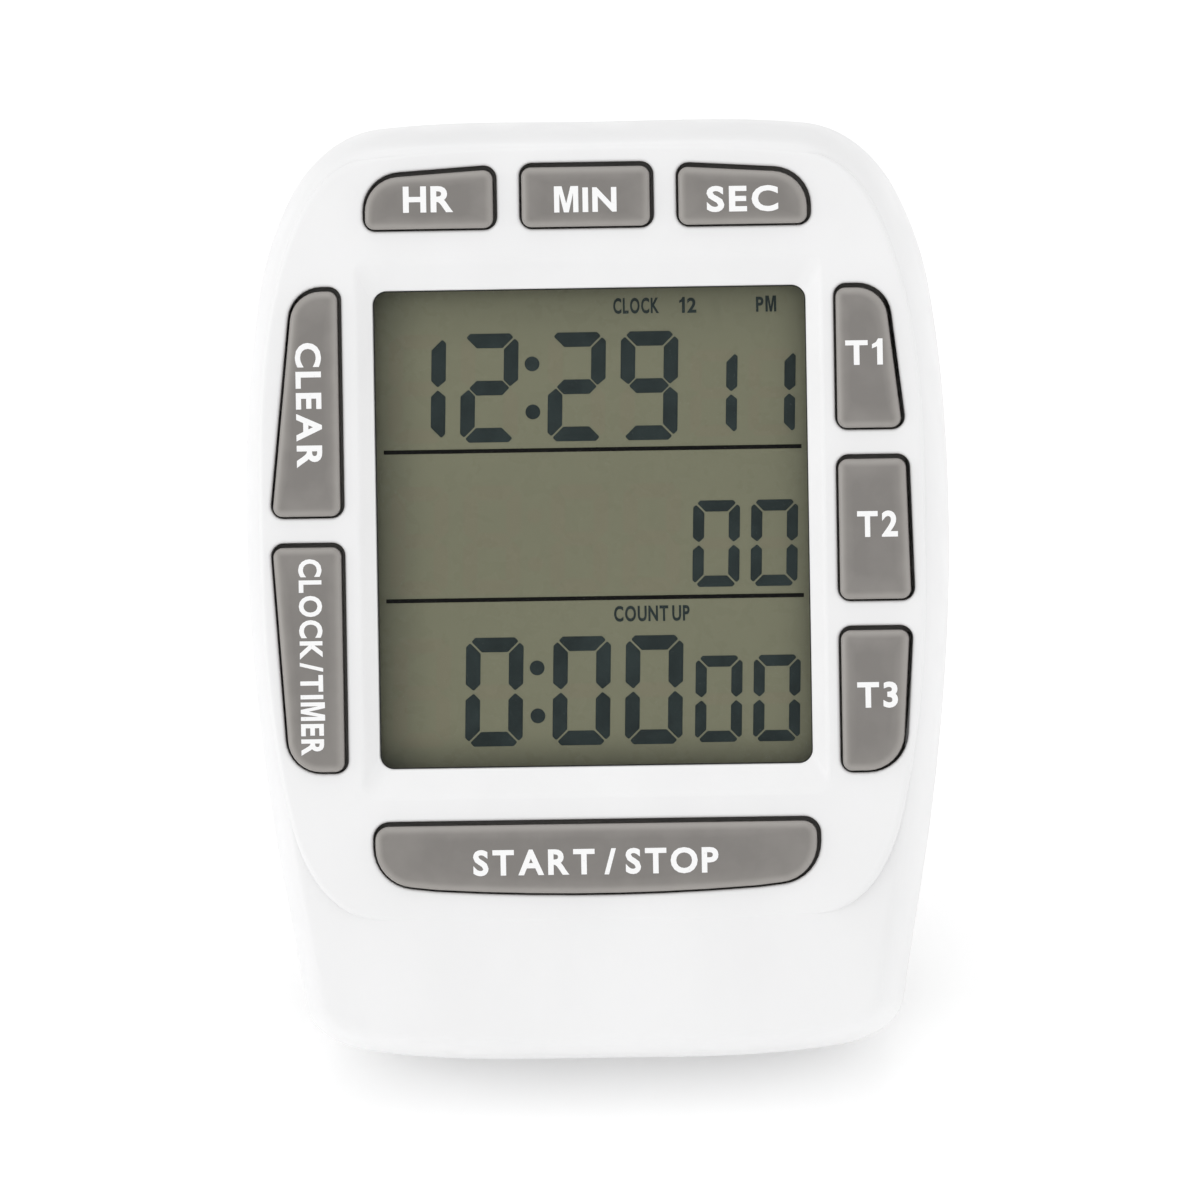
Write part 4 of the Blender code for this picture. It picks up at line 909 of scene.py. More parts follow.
@dataclass
class CaseForm:
    """The case's driving sizes and the outlines that several sub-assemblies share."""

    width: float = 66.0
    height: float = 88.0
    back: float = 13.0
    skirt: float = -9.2
    pad: float = -10.2
    inner_face: float = -8.2
    wall: float = 1.8
    seam: float = 0.3
    chin_drop: float = 2.5
    pad_bottom: float = -30.95
    window_half: float = 20.3
    window_top: float = 28.45
    window_bottom: float = -16.35
    window_round: float = 1.3
    key_corner: float = 1.2
    row_top: float = 40.25
    row_bottom: float = 34.05
    row_width: float = 12.6
    row_pitch: float = 14.7
    side_in: float = 22.95
    side_out: float = 30.2
    side_apart: float = 2.3
    start_half: float = 21.0
    start_top: float = -21.25
    start_bottom: float = -27.35
    start_bulge: float = 1.0
    span_steps: int = 14

    @property
    def half(self) -> float:
        """Half the width."""
        return self.width / 2

    @property
    def top(self) -> float:
        """Top of the case."""
        return self.height / 2

    def case_outline(self, steps: int | None = None) -> Outline:
        """The silhouette, widest a little above its middle.

        Args:
            steps: straight pieces in each span, or none for the usual count.

        Returns:
            The outline.
        """
        top, low, half = self.top, -self.top, self.half
        anchors = [
            (0.0, top, 0.0),
            (half - 13.0, top - 0.4, -6.0),
            (half - 4.4, top - 7.2, -64.0),
            (half - 1.6, top - 15.7, -80.5),
            (half, top - 38.0, -90.0),
            (half - 2.1, low + 22.5, -98.0),
            (half - 4.9, low + 5.5, -98.0),
            (half - 11.0, low + 0.95, -171.0),
            (0.0, low, -180.0),
        ]
        return Outline.mirrored(anchors, steps or self.span_steps)

    def pad_outline(self) -> Outline:
        """The raised pad's edge, which closes below the start key.

        Returns:
            The outline.
        """
        top, half, low = self.top, self.half, self.pad_bottom
        anchors = [
            (0.0, top - 2.1, 0.0),
            (half - 12.1, top - 3.1, -9.0),
            (half - 5.3, top - 9.9, -68.0),
            (half - 1.8, top - 41.0, -90.0),
            (half - 4.3, low + 9.8, -103.0),
            (half - 12.0, low + 0.5, -173.0),
            (0.0, low, -180.0),
        ]
        return Outline.mirrored(anchors, self.span_steps)

    def window(
        self, side: float = 0.0, top: float = 0.0, bottom: float = 0.0, radius: float = 0.0
    ) -> Outline:
        """The display window, grown by the given amounts.

        Args:
            side: how far each side moves out.
            top: how far the top moves up.
            bottom: how far the foot moves down.
            radius: the corners' radius, or 0 for the window's own.

        Returns:
            The outline.
        """
        half = self.window_half + side
        return Outline.slab(
            -half,
            half,
            self.window_bottom - bottom,
            self.window_top + top,
            radius or self.window_round,
        )

    def chin_fall(self, z: float) -> float:
        """How far the face falls back at one height: nothing above the pad's lower edge."""
        share = max(0.0, (self.pad_bottom - z) / (self.pad_bottom + self.top))
        return self.chin_drop * share * share

    def keys(self) -> list[KeyShape]:
        """Every key of the timer.

        Returns:
            The keys, the upper row first.
        """
        row = [("hour_key", -1), ("minute_key", 0), ("second_key", 1)]
        legends = {
            "hour_key": Legend("HR", -14.8, 37.0, 4.7),
            "minute_key": Legend("MIN", -0.06, 36.8, 5.85),
            "second_key": Legend("SEC", 14.65, 36.6, 6.7),
            "timer_1_key": Legend("T1", 25.8, 22.1, 3.5),
            "timer_2_key": Legend("T2", 26.8, 6.0, 3.8),
            "timer_3_key": Legend("T3", 26.55, -10.0, 3.8),
            "clear_key": Legend("CLEAR", -26.3, 17.9, 11.7, Reading.DOWN),
            "clock_timer_key": Legend("CLOCK/TIMER", -26.4, -5.7, 18.4, Reading.DOWN, 2.3),
            "start_stop_key": Legend("START / STOP", -0.1, -25.2, 23.0),
        }
        shapes = [(name, self._row_key(side), 0) for name, side in row]
        small = self.key_corner
        shapes += self._column(
            1,
            0.0,
            (0.1, 0.9),
            [
                ("timer_1_key", 0.7, 3.2, 0.92, small),
                ("timer_2_key", 0.95, small, 1.0, small),
                ("timer_3_key", 0.97, small, 0.85, 3.8),
            ],
        )
        shapes += self._column(
            -1,
            0.03,
            (0.5, 0.3),
            [
                ("clear_key", 0.68, 3.2, 1.0, small),
                ("clock_timer_key", 1.0, small, 0.81, 3.4),
            ],
        )
        shapes.append(("start_stop_key", self._start_key(), 0))
        return [KeyShape(name, hole, side, legends[name]) for name, hole, side in shapes]

    def _row_key(self, side: int) -> Outline:
        """One key of the upper row, by side -1, 0 or 1.

        Args:
            side: -1 for the left, 0 for the middle and 1 for the right.

        Returns:
            Its hole.
        """
        half, small = self.row_width / 2, self.key_corner
        if side == 0:
            return Outline.slab(-half, half, self.row_bottom, self.row_top, small)
        corners = [
            (half, self.row_top - 0.9, 3.6),
            (half, self.row_bottom, small),
            (-half, self.row_bottom, small),
            (-half, self.row_top - 0.1, small),
        ]
        if side < 0:
            corners = [(-x, z, radius) for x, z, radius in reversed(corners)]
        return Outline.rounded([(x + side * self.row_pitch, z, r) for x, z, r in corners])

    def _column(
        self,
        side: int,
        inner: float,
        past: tuple[float, float],
        caps: Sequence[tuple[str, float, float, float, float]],
    ) -> list[tuple[str, Outline, int]]:
        """One column of side keys.

        Args:
            side: -1 for the left column and 1 for the right.
            inner: share of their reach by which the keys start further out.
            past: how far the column runs past the window's top and foot.
            caps: each key's name, then share and radius of its upper and lower outer corners.

        Returns:
            Each key's name, hole and closed side.
        """
        reach = self.side_out - self.side_in
        rise, below = past
        span = self.window_top - self.window_bottom + rise + below
        height = (span - (len(caps) - 1) * self.side_apart) / len(caps)
        shapes = []
        for index, (name, upper, upper_round, lower, lower_round) in enumerate(caps):
            high = self.window_top + rise - index * (height + self.side_apart)
            low = high - height
            corners = [
                (inner, high, self.key_corner),
                (upper, high, upper_round),
                (lower, low, lower_round),
                (inner, low, self.key_corner),
            ]
            placed = [(self.side_in + share * reach, z, radius) for share, z, radius in corners]
            if side < 0:
                placed = [(-x, z, radius) for x, z, radius in reversed(placed)]
            shapes.append((name, Outline.rounded(placed), side))
        return shapes

    def _start_key(self) -> Outline:
        """The long key, whose lower edge bows down between two large corners.

        Returns:
            Its hole.
        """
        half, top, low = self.start_half, self.start_top, self.start_bottom
        shares = [0.72, 0.5, 0.3, 0.1, -0.1, -0.3, -0.5, -0.72]
        bow = [
            (half * share, low - self.start_bulge * (1 - share * share), 20.0) for share in shares
        ]
        upper = [(-half, top, 1.6), (half, top, 1.6)]
        return Outline.rounded([*upper, (half, low + 0.2, 4.0), *bow, (-half, low + 0.2, 4.0)])

    def case_screws(self) -> list[Point]:
        """The four case screws.

        Returns:
            Their x and z.
        """
        high = (self.half - 8.6, self.top - 11.7)
        low = (self.half - 10.5, -self.top + 8.0)
        return [(side * x, z) for x, z in (high, low) for side in (-1, 1)]

    def board_screws(self) -> list[Point]:
        """The two board screws beside the start key.

        Returns:
            Their x and z.
        """
        z = self.window_bottom - 0.9 - 3.4 - 1.8
        x = self.half - 8.0
        return [(-x, z), (x, z)]


CAPITAL = 0.729  # capital height of the built-in type at size 1
LETTER_GAP = 0.12  # as a share of the type size
WORD_GAP = 0.16
DRAWN_SIGNS: dict[str, list[Point]] = {
    "M": [
        (0.0, 0.0),
        (0.0, 1.0),
        (0.28, 1.0),
        (0.44, 0.34),
        (0.6, 1.0),
        (0.88, 1.0),
        (0.88, 0.0),
        (0.69, 0.0),
        (0.69, 0.72),
        (0.53, 0.0),
        (0.35, 0.0),
        (0.19, 0.72),
        (0.19, 0.0),
    ],
    "1": [
        (0.0, 0.62),
        (0.0, 0.78),
        (0.14, 0.86),
        (0.22, 1.0),
        (0.38, 1.0),
        (0.38, 0.0),
        (0.18, 0.0),
        (0.18, 0.7),
    ],
}


class Workshop:
    """Turns finished solids into named pieces that ride on the frame."""

    def __init__(self, axes: CaseAxes) -> None:
        """Keeps the axes and an empty shelf of materials.

        Args:
            axes: the case's axes.
        """
        self.axes = axes
        self._materials: dict[str, bpy.types.Material] = {}

    def finish(self, name: str) -> bpy.types.Material:
        """The material for one of FINISHES, made once.

        Args:
            name: the finish's name.

        Returns:
            The material.
        """
        if name not in self._materials:
            self._materials[name] = FINISHES[name].material(self.axes)
        return self._materials[name]

    def piece(
        self,
        name: str,
        mesh: bmesh.types.BMesh,
        finish: str,
        body: str = "case",
        replaces: Sequence[str] = (),
        slot: str = "",
        crease: float = 38.0,
    ) -> bpy.types.Object:
        """A finished piece in the frame.

        Args:
            name: the piece's name.
            mesh: its solid in case millimetres, which is used up.
            finish: a name in FINISHES.
            body: the body that it rides on.
            replaces: the CAD nodes that it stands for.
            slot: the record's material slot; not used.
            crease: edges sharper than this angle in degrees stay crisp.

        Returns:
            The object.
        """
        data = bpy.data.meshes.new(name)
        mesh.to_mesh(data)
        mesh.free()
        data.transform(self.axes.matrix)
        data.shade_smooth()
        data.set_sharp_from_angle(angle=math.radians(crease))
        data.materials.append(self.finish(finish))
        made = bpy.data.objects.new(name, data)
        bpy.context.scene.collection.objects.link(made)
        lead = made.modifiers.new("weighted_normal", "WEIGHTED_NORMAL")
        lead.keep_sharp = True
        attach(made, body)
        if replaces:
            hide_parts(*replaces)
        LOG.info("%s: %d faces, rides on %s", name, len(data.polygons), body)
        return made

    def dress(self, finish: str, *nodes: str) -> None:
        """Gives CAD nodes a finish.

        Args:
            finish: a name in FINISHES.
            nodes: the CAD nodes.
        """
        for node in nodes:
            for place in frame["nodes"][node].material_slots:
                place.material = self.finish(finish)
            LOG.info("%s: finished as %s", node, finish)

    @staticmethod
    def _drawn(sign: str, weight: float) -> bmesh.types.BMesh:
        """A sign from DRAWN_SIGNS, at the height of the type.

        Args:
            sign: the sign.
            weight: how much its strokes are thickened.

        Returns:
            The sign as a closed solid.
        """
        reach = CAPITAL + 2 * weight
        outline = Outline([(x * reach, z * reach - weight) for x, z in DRAWN_SIGNS[sign]])
        return Solids.prism(outline, -0.5, 0.5)

    @staticmethod
    def _typed(sign: str, weight: float) -> bmesh.types.BMesh:
        """A sign of the built-in type, with strokes thickened all round by weight.

        Args:
            sign: the sign.
            weight: how much its strokes are thickened.

        Returns:
            The sign as a closed solid.
        """
        curve = bpy.data.curves.new("sign", "FONT")
        curve.body = sign
        curve.size = 1.0
        curve.offset = weight
        curve.extrude = 0.5
        curve.resolution_u = 4
        holder = bpy.data.objects.new("sign", curve)
        bpy.context.scene.collection.objects.link(holder)
        shown = holder.evaluated_get(bpy.context.evaluated_depsgraph_get())
        glyph = bmesh.new()
        glyph.from_mesh(shown.to_mesh())
        shown.to_mesh_clear()
        bpy.data.objects.remove(holder)
        bpy.data.curves.remove(curve)
        bmesh.ops.remove_doubles(glyph, verts=glyph.verts, dist=1e-5)
        turn = Matrix.Rotation(math.radians(90.0), 3, "X")
        bmesh.ops.rotate(glyph, verts=glyph.verts, cent=ORIGIN, matrix=turn)
        bmesh.ops.recalc_face_normals(glyph, faces=glyph.faces)
        return glyph

    def lettering(
        self, words: str, width: float, height: float, weight: float, thick: float
    ) -> bmesh.types.BMesh:
        """Flat letters, centred on the origin in the plane of the face.

        Args:
            words: what they say.
            width: their length in millimetres.
            height: their capital height in millimetres.
            weight: how much the strokes are thickened, as a share of the type size.
            thick: the ink's thickness in millimetres.

        Returns:
            The letters as closed solids.
        """
        pen = 0.0
        glyphs = []
        for sign in words:
            if sign == " ":
                pen += WORD_GAP
                continue
            glyph = (self._drawn if sign in DRAWN_SIGNS else self._typed)(sign, weight)
            places = [vert.co.x for vert in glyph.verts]
            glyphs.append(Solids.moved(glyph, pen - min(places), 0.0, 0.0))
            pen += max(places) - min(places) + LETTER_GAP
        letters = Solids.gathered(glyphs)
        xs = [vert.co.x for vert in letters.verts]
        zs = [vert.co.z for vert in letters.verts]
        Solids.moved(letters, -(min(xs) + max(xs)) / 2, 0.0, -(min(zs) + max(zs)) / 2)
        sizes = (width / (max(xs) - min(xs)), thick, height / (max(zs) - min(zs)))
        bmesh.ops.scale(letters, verts=letters.verts, vec=sizes)
        return letters


# ---------------------------------------------------------------- front case


@dataclass
class FrontCase:
    """The front shell: rounded skirt, raised pad, falling chin, sloped recess and key holes."""

    form: CaseForm
    rim: float = 0.26  # rounding of the key holes
    recess_side: float = 1.45
    recess_top: float = 2.7
    recess_bottom: float = 2.5
    chin_fill: float = 0.95  # how far the chin swells forward to meet the pad in the middle
    skirt_profile: tuple[Point, ...] = (
        (0.0, 0.0),
        (-1.5, 0.04),
        (-3.0, 0.15),
        (-4.5, 0.34),
        (-6.0, 0.6),
        (-7.1, 0.88),
        (-7.9, 1.15),
        (-8.4, 1.38),
        (-8.78, 1.63),
        (-9.03, 1.92),
        (-9.16, 2.25),
        (-9.2, 2.65),
    )
    pad_profile: tuple[Point, ...] = (
        (-8.0, 0.0),
        (-9.72, 0.0),
        (-9.9, 0.035),
        (-10.04, 0.12),
        (-10.13, 0.24),
        (-10.18, 0.38),
        (-10.2, 0.56),
    )

    def build(self, shop: Workshop) -> None:
        """Builds the shell.

        Args:
            shop: where the piece is made.
        """
        form = self.form
        outline = form.case_outline()
        body = Solids.loft([outline.grown(-inset).ring(y) for y, inset in self.skirt_profile])
        self._shape_chin(body)
        carving = Carving(body)
        pad = form.pad_outline()
        carving.add(Solids.loft([pad.grown(-inset).ring(y) for y, inset in self.pad_profile]))
        carving.cut(self._cavity())
        carving.add(self._bosses())
        carving.cut(self._pilot_holes())
        carving.cut(self._recess())
        carving.cut(Solids.gathered(self._key_hole(key) for key in form.keys()))
        shop.piece(
            "front_shell",
            carving.finished(),
            "white",
            replaces=["front_case"],
            slot="white_plastic",
            crease=32.0,
        )

    def _swell(self, x: float, z: float) -> float:
        """How far the chin stands forward of its plain slope at one place.

        Args:
            x: place across the face.
            z: height on the face.

        Returns:
            The distance in millimetres.
        """
        form = self.form
        side = 1 - smooth_step(18.0, 29.0, abs(x))
        down = (z + form.top) / (form.pad_bottom + form.top)
        return self.chin_fill * side * smooth_step(0.0, 1.0, min(1.0, max(0.0, down)))

    def _shape_chin(self, mesh: bmesh.types.BMesh) -> None:
        """Slices the lower face finely, lets it fall back and swells its middle.

        Args:
            mesh: the shell, which is changed.
        """
        form = self.form
        rows = 22
        planes = []
        for step in range(rows):
            height = form.pad_bottom + 2.0 - (form.pad_bottom + 2.0 + form.top) * step / rows
            planes.append(((0.0, 0.0, height), (0.0, 0.0, 1.0)))
        for step in range(-12, 13):
            planes.append(((step * 2.2, 0.0, 0.0), (1.0, 0.0, 0.0)))
        for place, direction in planes:
            bmesh.ops.bisect_plane(
                mesh,
                geom=mesh.verts[:] + mesh.edges[:] + mesh.faces[:],
                dist=1e-5,
                plane_co=place,
                plane_no=direction,
            )
        for vert in mesh.verts:
            x, y, z = vert.co
            forward = min(1.0, max(0.0, y / form.skirt))
            vert.co.y += form.chin_fall(z) * forward - self._swell(x, z) * forward**6

    def _cavity(self) -> bmesh.types.BMesh:
        """The hollow behind the face.

        Returns:
            The cutter.
        """
        form = self.form
        outline = form.case_outline(6)
        hollow = [(PAST, 0.0), (-3.0, 0.15), (-6.0, 0.6), (form.inner_face, 1.15)]
        mesh = Solids.loft([outline.grown(-inset - form.wall).ring(y) for y, inset in hollow])
        for step in range(9):
            height = form.pad_bottom - (form.pad_bottom + form.top) * step / 9
            bmesh.ops.bisect_plane(
                mesh,
                geom=mesh.verts[:] + mesh.edges[:] + mesh.faces[:],
                dist=1e-5,
                plane_co=(0.0, 0.0, height),
                plane_no=(0.0, 0.0, 1.0),
            )
        for vert in mesh.verts:
            forward = min(1.0, max(0.0, vert.co.y / form.skirt))
            vert.co.y += form.chin_fall(vert.co.z) * forward
        return mesh

    def _bosses(self) -> bmesh.types.BMesh:
        """Screw bosses behind the face.

        Returns:
            The bosses.
        """
        form = self.form
        root = form.inner_face - 0.4
        bosses = [
            Solids.prism(Outline.disc(x, z, 2.2, 24), root + form.chin_fall(z), 0.0)
            for x, z in form.case_screws()
        ]
        bosses += [
            Solids.prism(Outline.disc(x, z, 1.8, 24), root, -1.95) for x, z in form.board_screws()
        ]
        return Solids.gathered(bosses)

    def _pilot_holes(self) -> bmesh.types.BMesh:
        """Holes for the screws' shanks.

        Returns:
            The cutters.
        """
        form = self.form
        holes = [
            Solids.prism(Outline.disc(x, z, 1.3, 24), -4.2, PAST) for x, z in form.case_screws()
        ]
        holes += [
            Solids.prism(Outline.disc(x, z, 1.0, 24), -5.85, PAST) for x, z in form.board_screws()
        ]
        return Solids.gathered(holes)

    def _recess(self) -> bmesh.types.BMesh:
        """The window with its sloped walls, softly rounded where they leave the pad.

        Returns:
            The cutter.
        """
        form = self.form
        steps = [
            (1.3, -0.03, 1.6),
            (1.16, 0.006, 1.5),
            (1.08, 0.03, 1.4),
            (1.0, 0.075, 1.3),
            (0.92, 0.145, 1.25),
            (0.82, 0.25, 1.2),
            (0.1, 1.11, 1.2),
            (0.03, 1.19, 1.25),
            (0.0, 1.32, 1.3),
            (0.0, form.inner_face - form.pad + PAST, 1.3),
        ]
        return Solids.loft(
            [
                form.window(
                    self.recess_side * share,
                    self.recess_top * share,
                    self.recess_bottom * share,
                    radius,
                ).ring(form.pad + depth)
                for share, depth, radius in steps
            ]
        )

    def _key_hole(self, key: KeyShape) -> bmesh.types.BMesh:
        """One key's hole with a rounded rim.

        Args:
            key: the key that fills it.

        Returns:
            The cutter.
        """
        form = self.form
        rings = [key.hole.grown(self.rim + 0.25).ring(form.pad - 0.03)]
        for step in range(5):
            turn = math.radians(90.0 * step / 4)
            reach = self.rim * (1 - math.sin(turn))
            depth = self.rim * (1 - math.cos(turn)) + 0.004
            rings.append(key.hole.grown(reach).ring(form.pad + depth))
        rings.append(key.hole.ring(form.inner_face + 0.5))
        return Solids.loft(rings)


def smooth_step(low: float, high: float, value: float) -> float:
    """0 below low, 1 above high, and a smooth rise between."""
    share = min(1.0, max(0.0, (value - low) / (high - low)))
    return share * share * (3 - 2 * share)


# ---------------------------------------------------------------- keys


@dataclass
class KeySet:
    """The nine grey keys with rounded edges, and the legends printed on them."""

    form: CaseForm
    proud: float = 0.7
    gap: float = 0.3
    flange: float = 0.7
    flange_thick: float = 1.0
    ink: float = 0.03
    weight: float = 0.032
    flat_share: float = 0.72  # how wide the face's inner ring is beside its outer one
    sag: tuple[float, float] = (-0.07, -0.13)  # how a cap hangs in its hole, along X and Z
    # each ring's depth, inset, and share of the painted rim highlight
    edge_profile: tuple[tuple[float, float, float], ...] = (
        (0.0, 0.8, 0.25),
        (0.012, 0.62, 0.45),
        (0.05, 0.44, 0.75),
        (0.13, 0.26, 1.0),
        (0.25, 0.12, 1.0),
        (0.4, 0.03, 0.8),
        (0.58, 0.0, 0.5),
    )

    def build(self, shop: Workshop) -> None:
        """Builds every key and its legend.

        Args:
            shop: where the pieces are made.
        """
        for key in self.form.keys():
            self._build_key(shop, key)
            self._print_legend(shop, key)

    def _build_key(self, shop: Workshop, key: KeyShape) -> None:
        """One key cap.

        Args:
            shop: where the piece is made.
            key: the key's hole and legend.
        """
        front = self.form.pad - self.proud
        body = key.hole.grown(-self.gap)
        seat = self.form.inner_face + GAP
        rings = [body.grown(-inset).ring(front + depth) for depth, inset, _ in self.edge_profile]
        low_x, high_x, low_z, high_z = body.box()
        middle = Vector(((low_x + high_x) / 2, front, (low_z + high_z) / 2))
        face = [tuple(middle.lerp(Vector(point), self.flat_share)) for point in rings[0]]
        rings.append(body.ring(seat))
        brim = body.grown(self.flange, key.closed_side)
        rings.append(brim.ring(seat + 0.05))
        rings.append(brim.ring(seat + self.flange_thick))
        cap = Solids.loft([face, *rings])
        # each ring's share of the painted rim highlight is stored on its points
        rim_highlight_layer = cap.verts.layers.float.new(RIM_HIGHLIGHT)
        for vert in cap.verts:
            for depth, _, share in self.edge_profile:
                if abs(vert.co.y - front - depth) < 1e-4 and vert.index >= len(face):
                    vert[rim_highlight_layer] = share
        shop.piece(
            f"{key.name}_cap",
            Solids.moved(cap, self.sag[0], 0.0, self.sag[1]),
            "key",
            body=key.name,
            replaces=[key.name],
            slot="key_grey",
            crease=50.0,
        )

    def _print_legend(self, shop: Workshop, key: KeyShape) -> None:
        """One key's legend.

        Args:
            shop: where the piece is made.
            key: the key's hole and legend.
        """
        legend = key.legend
        letters = shop.lettering(legend.words, legend.width, legend.height, self.weight, self.ink)
        if legend.reading is Reading.DOWN:
            turn = Matrix.Rotation(math.radians(90.0), 3, "Y")
            bmesh.ops.rotate(letters, verts=letters.verts, cent=ORIGIN, matrix=turn)
        front = self.form.pad - self.proud
        Solids.moved(letters, legend.x, front - 0.3 * self.ink, legend.z)
        shop.piece(
            f"{key.name}_legend", letters, "legend", body=key.name, slot="key_grey", crease=30.0
        )


# ---------------------------------------------------------------- display


SEGMENTS = {
    "0": "abcdef",
    "1": "bc",
    "2": "abged",
    "3": "abgcd",
    "4": "fgbc",
    "5": "afgcd",
    "6": "afgecd",
    "7": "abc",
    "8": "abcdefg",
    "9": "abgfcd",
}


@dataclass(frozen=True)
class DigitCell:
    """One seven-segment place of the display, by its left side and its foot."""

    left: float
    foot: float
    width: float
    height: float
    bar: float
    slant: float = 1.6
    gap: float = 0.12
    nick: float = 0.62
    soft: float = 0.14

    def segment(self, letter: str) -> Outline:
        """One segment's outline.

        Args:
            letter: a to g in the usual order.

        Returns:
            The outline, slanted and in place.
        """
        w, h, t, k = self.width, self.height, self.bar, self.gap
        c = self.nick * t
        mid = h / 2
        across = [
            ((c + k) / 2, (c - k) / 2),
            (c, 0.0),
            (w - c, 0.0),
            (w - (c + k) / 2, (c - k) / 2),
            (w - t - k, t),
            (t + k, t),
        ]
        upright = [
            (0.0, c),
            ((c - k) / 2, (c + k) / 2),
            (t, t + k),
            (t, mid - t / 2 - k / 2),
            (0.55 * t, mid - k),
            (0.0, mid - t / 2 - k / 2),
        ]
        middle = [
            (t / 2 + k, mid),
            (t + k, mid - t / 2),
            (w - t - k, mid - t / 2),
            (w - t / 2 - k, mid),
            (w - t - k, mid + t / 2),
            (t + k, mid + t / 2),
        ]
        points = {"a": across, "d": across, "g": middle}.get(letter, upright)
        if letter in "bc":
            points = [(w - x, down) for x, down in reversed(points)]
        if letter in "cde":
            points = [(x, h - down) for x, down in reversed(points)]
        lean = math.tan(math.radians(self.slant))
        placed = [
            (self.left + x + (mid - down) * lean, self.foot + h - down, self.soft)
            for x, down in points
        ]
        turned = sum(
            before[0] * after[1] - after[0] * before[1]
            for before, after in zip(placed, placed[1:] + placed[:1])
        )
        return Outline.rounded(placed if turned < 0 else placed[::-1], 3)


@dataclass
class Display:
    """Clear window, a thin black ring round it, liquid-crystal cell, its segments, labels and
    dividing lines.
    """

    form: CaseForm
    pane_front: float = -7.9
    pane_thick: float = 1.0
    margin: float = 0.75
    cell_front: float = -6.6
    glass: float = 1.1
    ledge: float = 2.8
    film: float = 0.02
    big_lefts: tuple[float, ...] = (-19.09, -12.29, -4.09, 2.71)
    small_lefts: tuple[float, ...] = (9.26, 14.71)
    colon_x: float = -5.54
    dot_rises: tuple[float, float] = (7.3, 2.8)
    dot_round: float = 0.7
    big_cell: tuple[float, float, float] = (5.4, 10.2, 1.37)  # width, height, bar
    small_cell: tuple[float, float, float] = (4.4, 8.1, 1.05)
    divider_half: float = 19.6
    divider_thick: float = 0.38
    divider_heights: tuple[float, float] = (13.3, -0.65)
    label_height: float = 1.5
    label_weight: float = 0.03
    rows: tuple[tuple[float, float, str, str, bool], ...] = (
        (14.1, 14.35, "1229", "11", True),
        (-0.15, 0.25, "    ", "00", False),
        (-14.4, -14.3, " 000", "00", True),
    )
    labels: tuple[tuple[str, float, float, float], ...] = (
        ("CLOCK", 4.31, 26.7, 4.3),
        ("12", 9.16, 26.7, 1.6),
        ("PM", 16.5, 26.7, 1.9),
        ("COUNT UP", 5.31, -2.15, 7.1),
    )

    def build(self, shop: Workshop) -> None:
        """Builds the display.

        Args:
            shop: where the pieces are made.
        """
        self._build_pane(shop)
        self._build_cell(shop)
        lit, ghost = self._cells()
        ground = self.cell_front
        shop.piece(
            "lit_segments", self._film(lit, ground, self.film), "segment", slot="lcd_glass"
        )
        shop.piece(
            "unlit_segments", self._film(ghost, ground, 0.4 * self.film), "ghost", slot="lcd_glass"
        )
        half, thick = self.divider_half, self.divider_thick / 2
        lines = [
            Solids.box(-half, half, ground - self.film, ground + 0.01, z - thick, z + thick)
            for z in self.divider_heights
        ]
        shop.piece("display_dividers", Solids.gathered(lines), "divider", slot="lcd_glass")
        for words, x, z, width in self.labels:
            letters = shop.lettering(
                words, width, self.label_height, self.label_weight, self.film
            )
            Solids.moved(letters, x, ground - 0.4 * self.film, z)
            name = words.lower().replace(" ", "_")
            shop.piece(f"label_{name}", letters, "segment", slot="lcd_glass")

    def _build_pane(self, shop: Workshop) -> None:
        """The window pane and the thin black ring in front of it.

        Args:
            shop: where the pieces are made.
        """
        form, edge = self.form, 0.15
        pane = form.window(self.margin, self.margin, self.margin)
        front, back = self.pane_front, self.pane_front + self.pane_thick
        rings = [
            pane.grown(-edge).ring(front),
            pane.ring(front + edge),
            pane.ring(back - edge),
            pane.grown(-edge).ring(back),
        ]
        shop.piece(
            "window_pane", Solids.loft(rings), "pane", replaces=["display_lens"], slot="clear_pane"
        )
        # the black ring shows about 0.13 mm inside the window's edge as a thin dark line all round
        outer = form.window(0.6, 0.6, 0.6)
        dark_ring = Carving(Solids.prism(outer, form.inner_face + 0.03, front - 0.03))
        dark_ring.cut(Solids.prism(form.window().grown(-0.13), form.inner_face - 1.0, front + 1.0))
        shop.piece("window_dark_ring", dark_ring.finished(), "dark_ring", slot="strip_rubber")

    def _build_cell(self, shop: Workshop) -> None:
        """The two glasses of the cell.

        Args:
            shop: where the piece is made.
        """
        form = self.form
        half = form.window_half + self.margin
        low, high = form.window_bottom - self.margin, form.window_top + self.margin
        middle = self.cell_front + self.glass
        front = Solids.box(-half, half, self.cell_front, middle, low, high, 0.12)
        rear = Solids.box(
            -half + 0.4,
            half - 0.4,
            middle - 0.1,
            middle + self.glass,
            low + self.ledge,
            high - self.ledge,
            0.12,
        )
        cell = Carving(front).add(rear)
        shop.piece(
            "crystal_cell", cell.finished(), "ground", replaces=["lcd_cell"], slot="lcd_glass"
        )

    def _cells(self) -> tuple[list[Outline], list[Outline]]:
        """Outlines of the lit and of the unlit segments.

        Returns:
            The lit ones, then the unlit ones.
        """
        lit: list[Outline] = []
        ghost: list[Outline] = []
        for foot, small_foot, big, small, colon in self.rows:
            cells = [
                (DigitCell(left, foot, *self.big_cell), sign)
                for left, sign in zip(self.big_lefts, big)
            ]
            cells += [
                (DigitCell(left, small_foot, *self.small_cell), sign)
                for left, sign in zip(self.small_lefts, small)
            ]
            for cell, sign in cells:
                for letter in "abcdefg":
                    shown = letter in SEGMENTS.get(sign, "")
                    (lit if shown else ghost).append(cell.segment(letter))
            for rise in self.dot_rises:
                dot = Outline.disc(self.colon_x, foot + rise, self.dot_round, 20)
                (lit if colon else ghost).append(dot)
        return lit, ghost

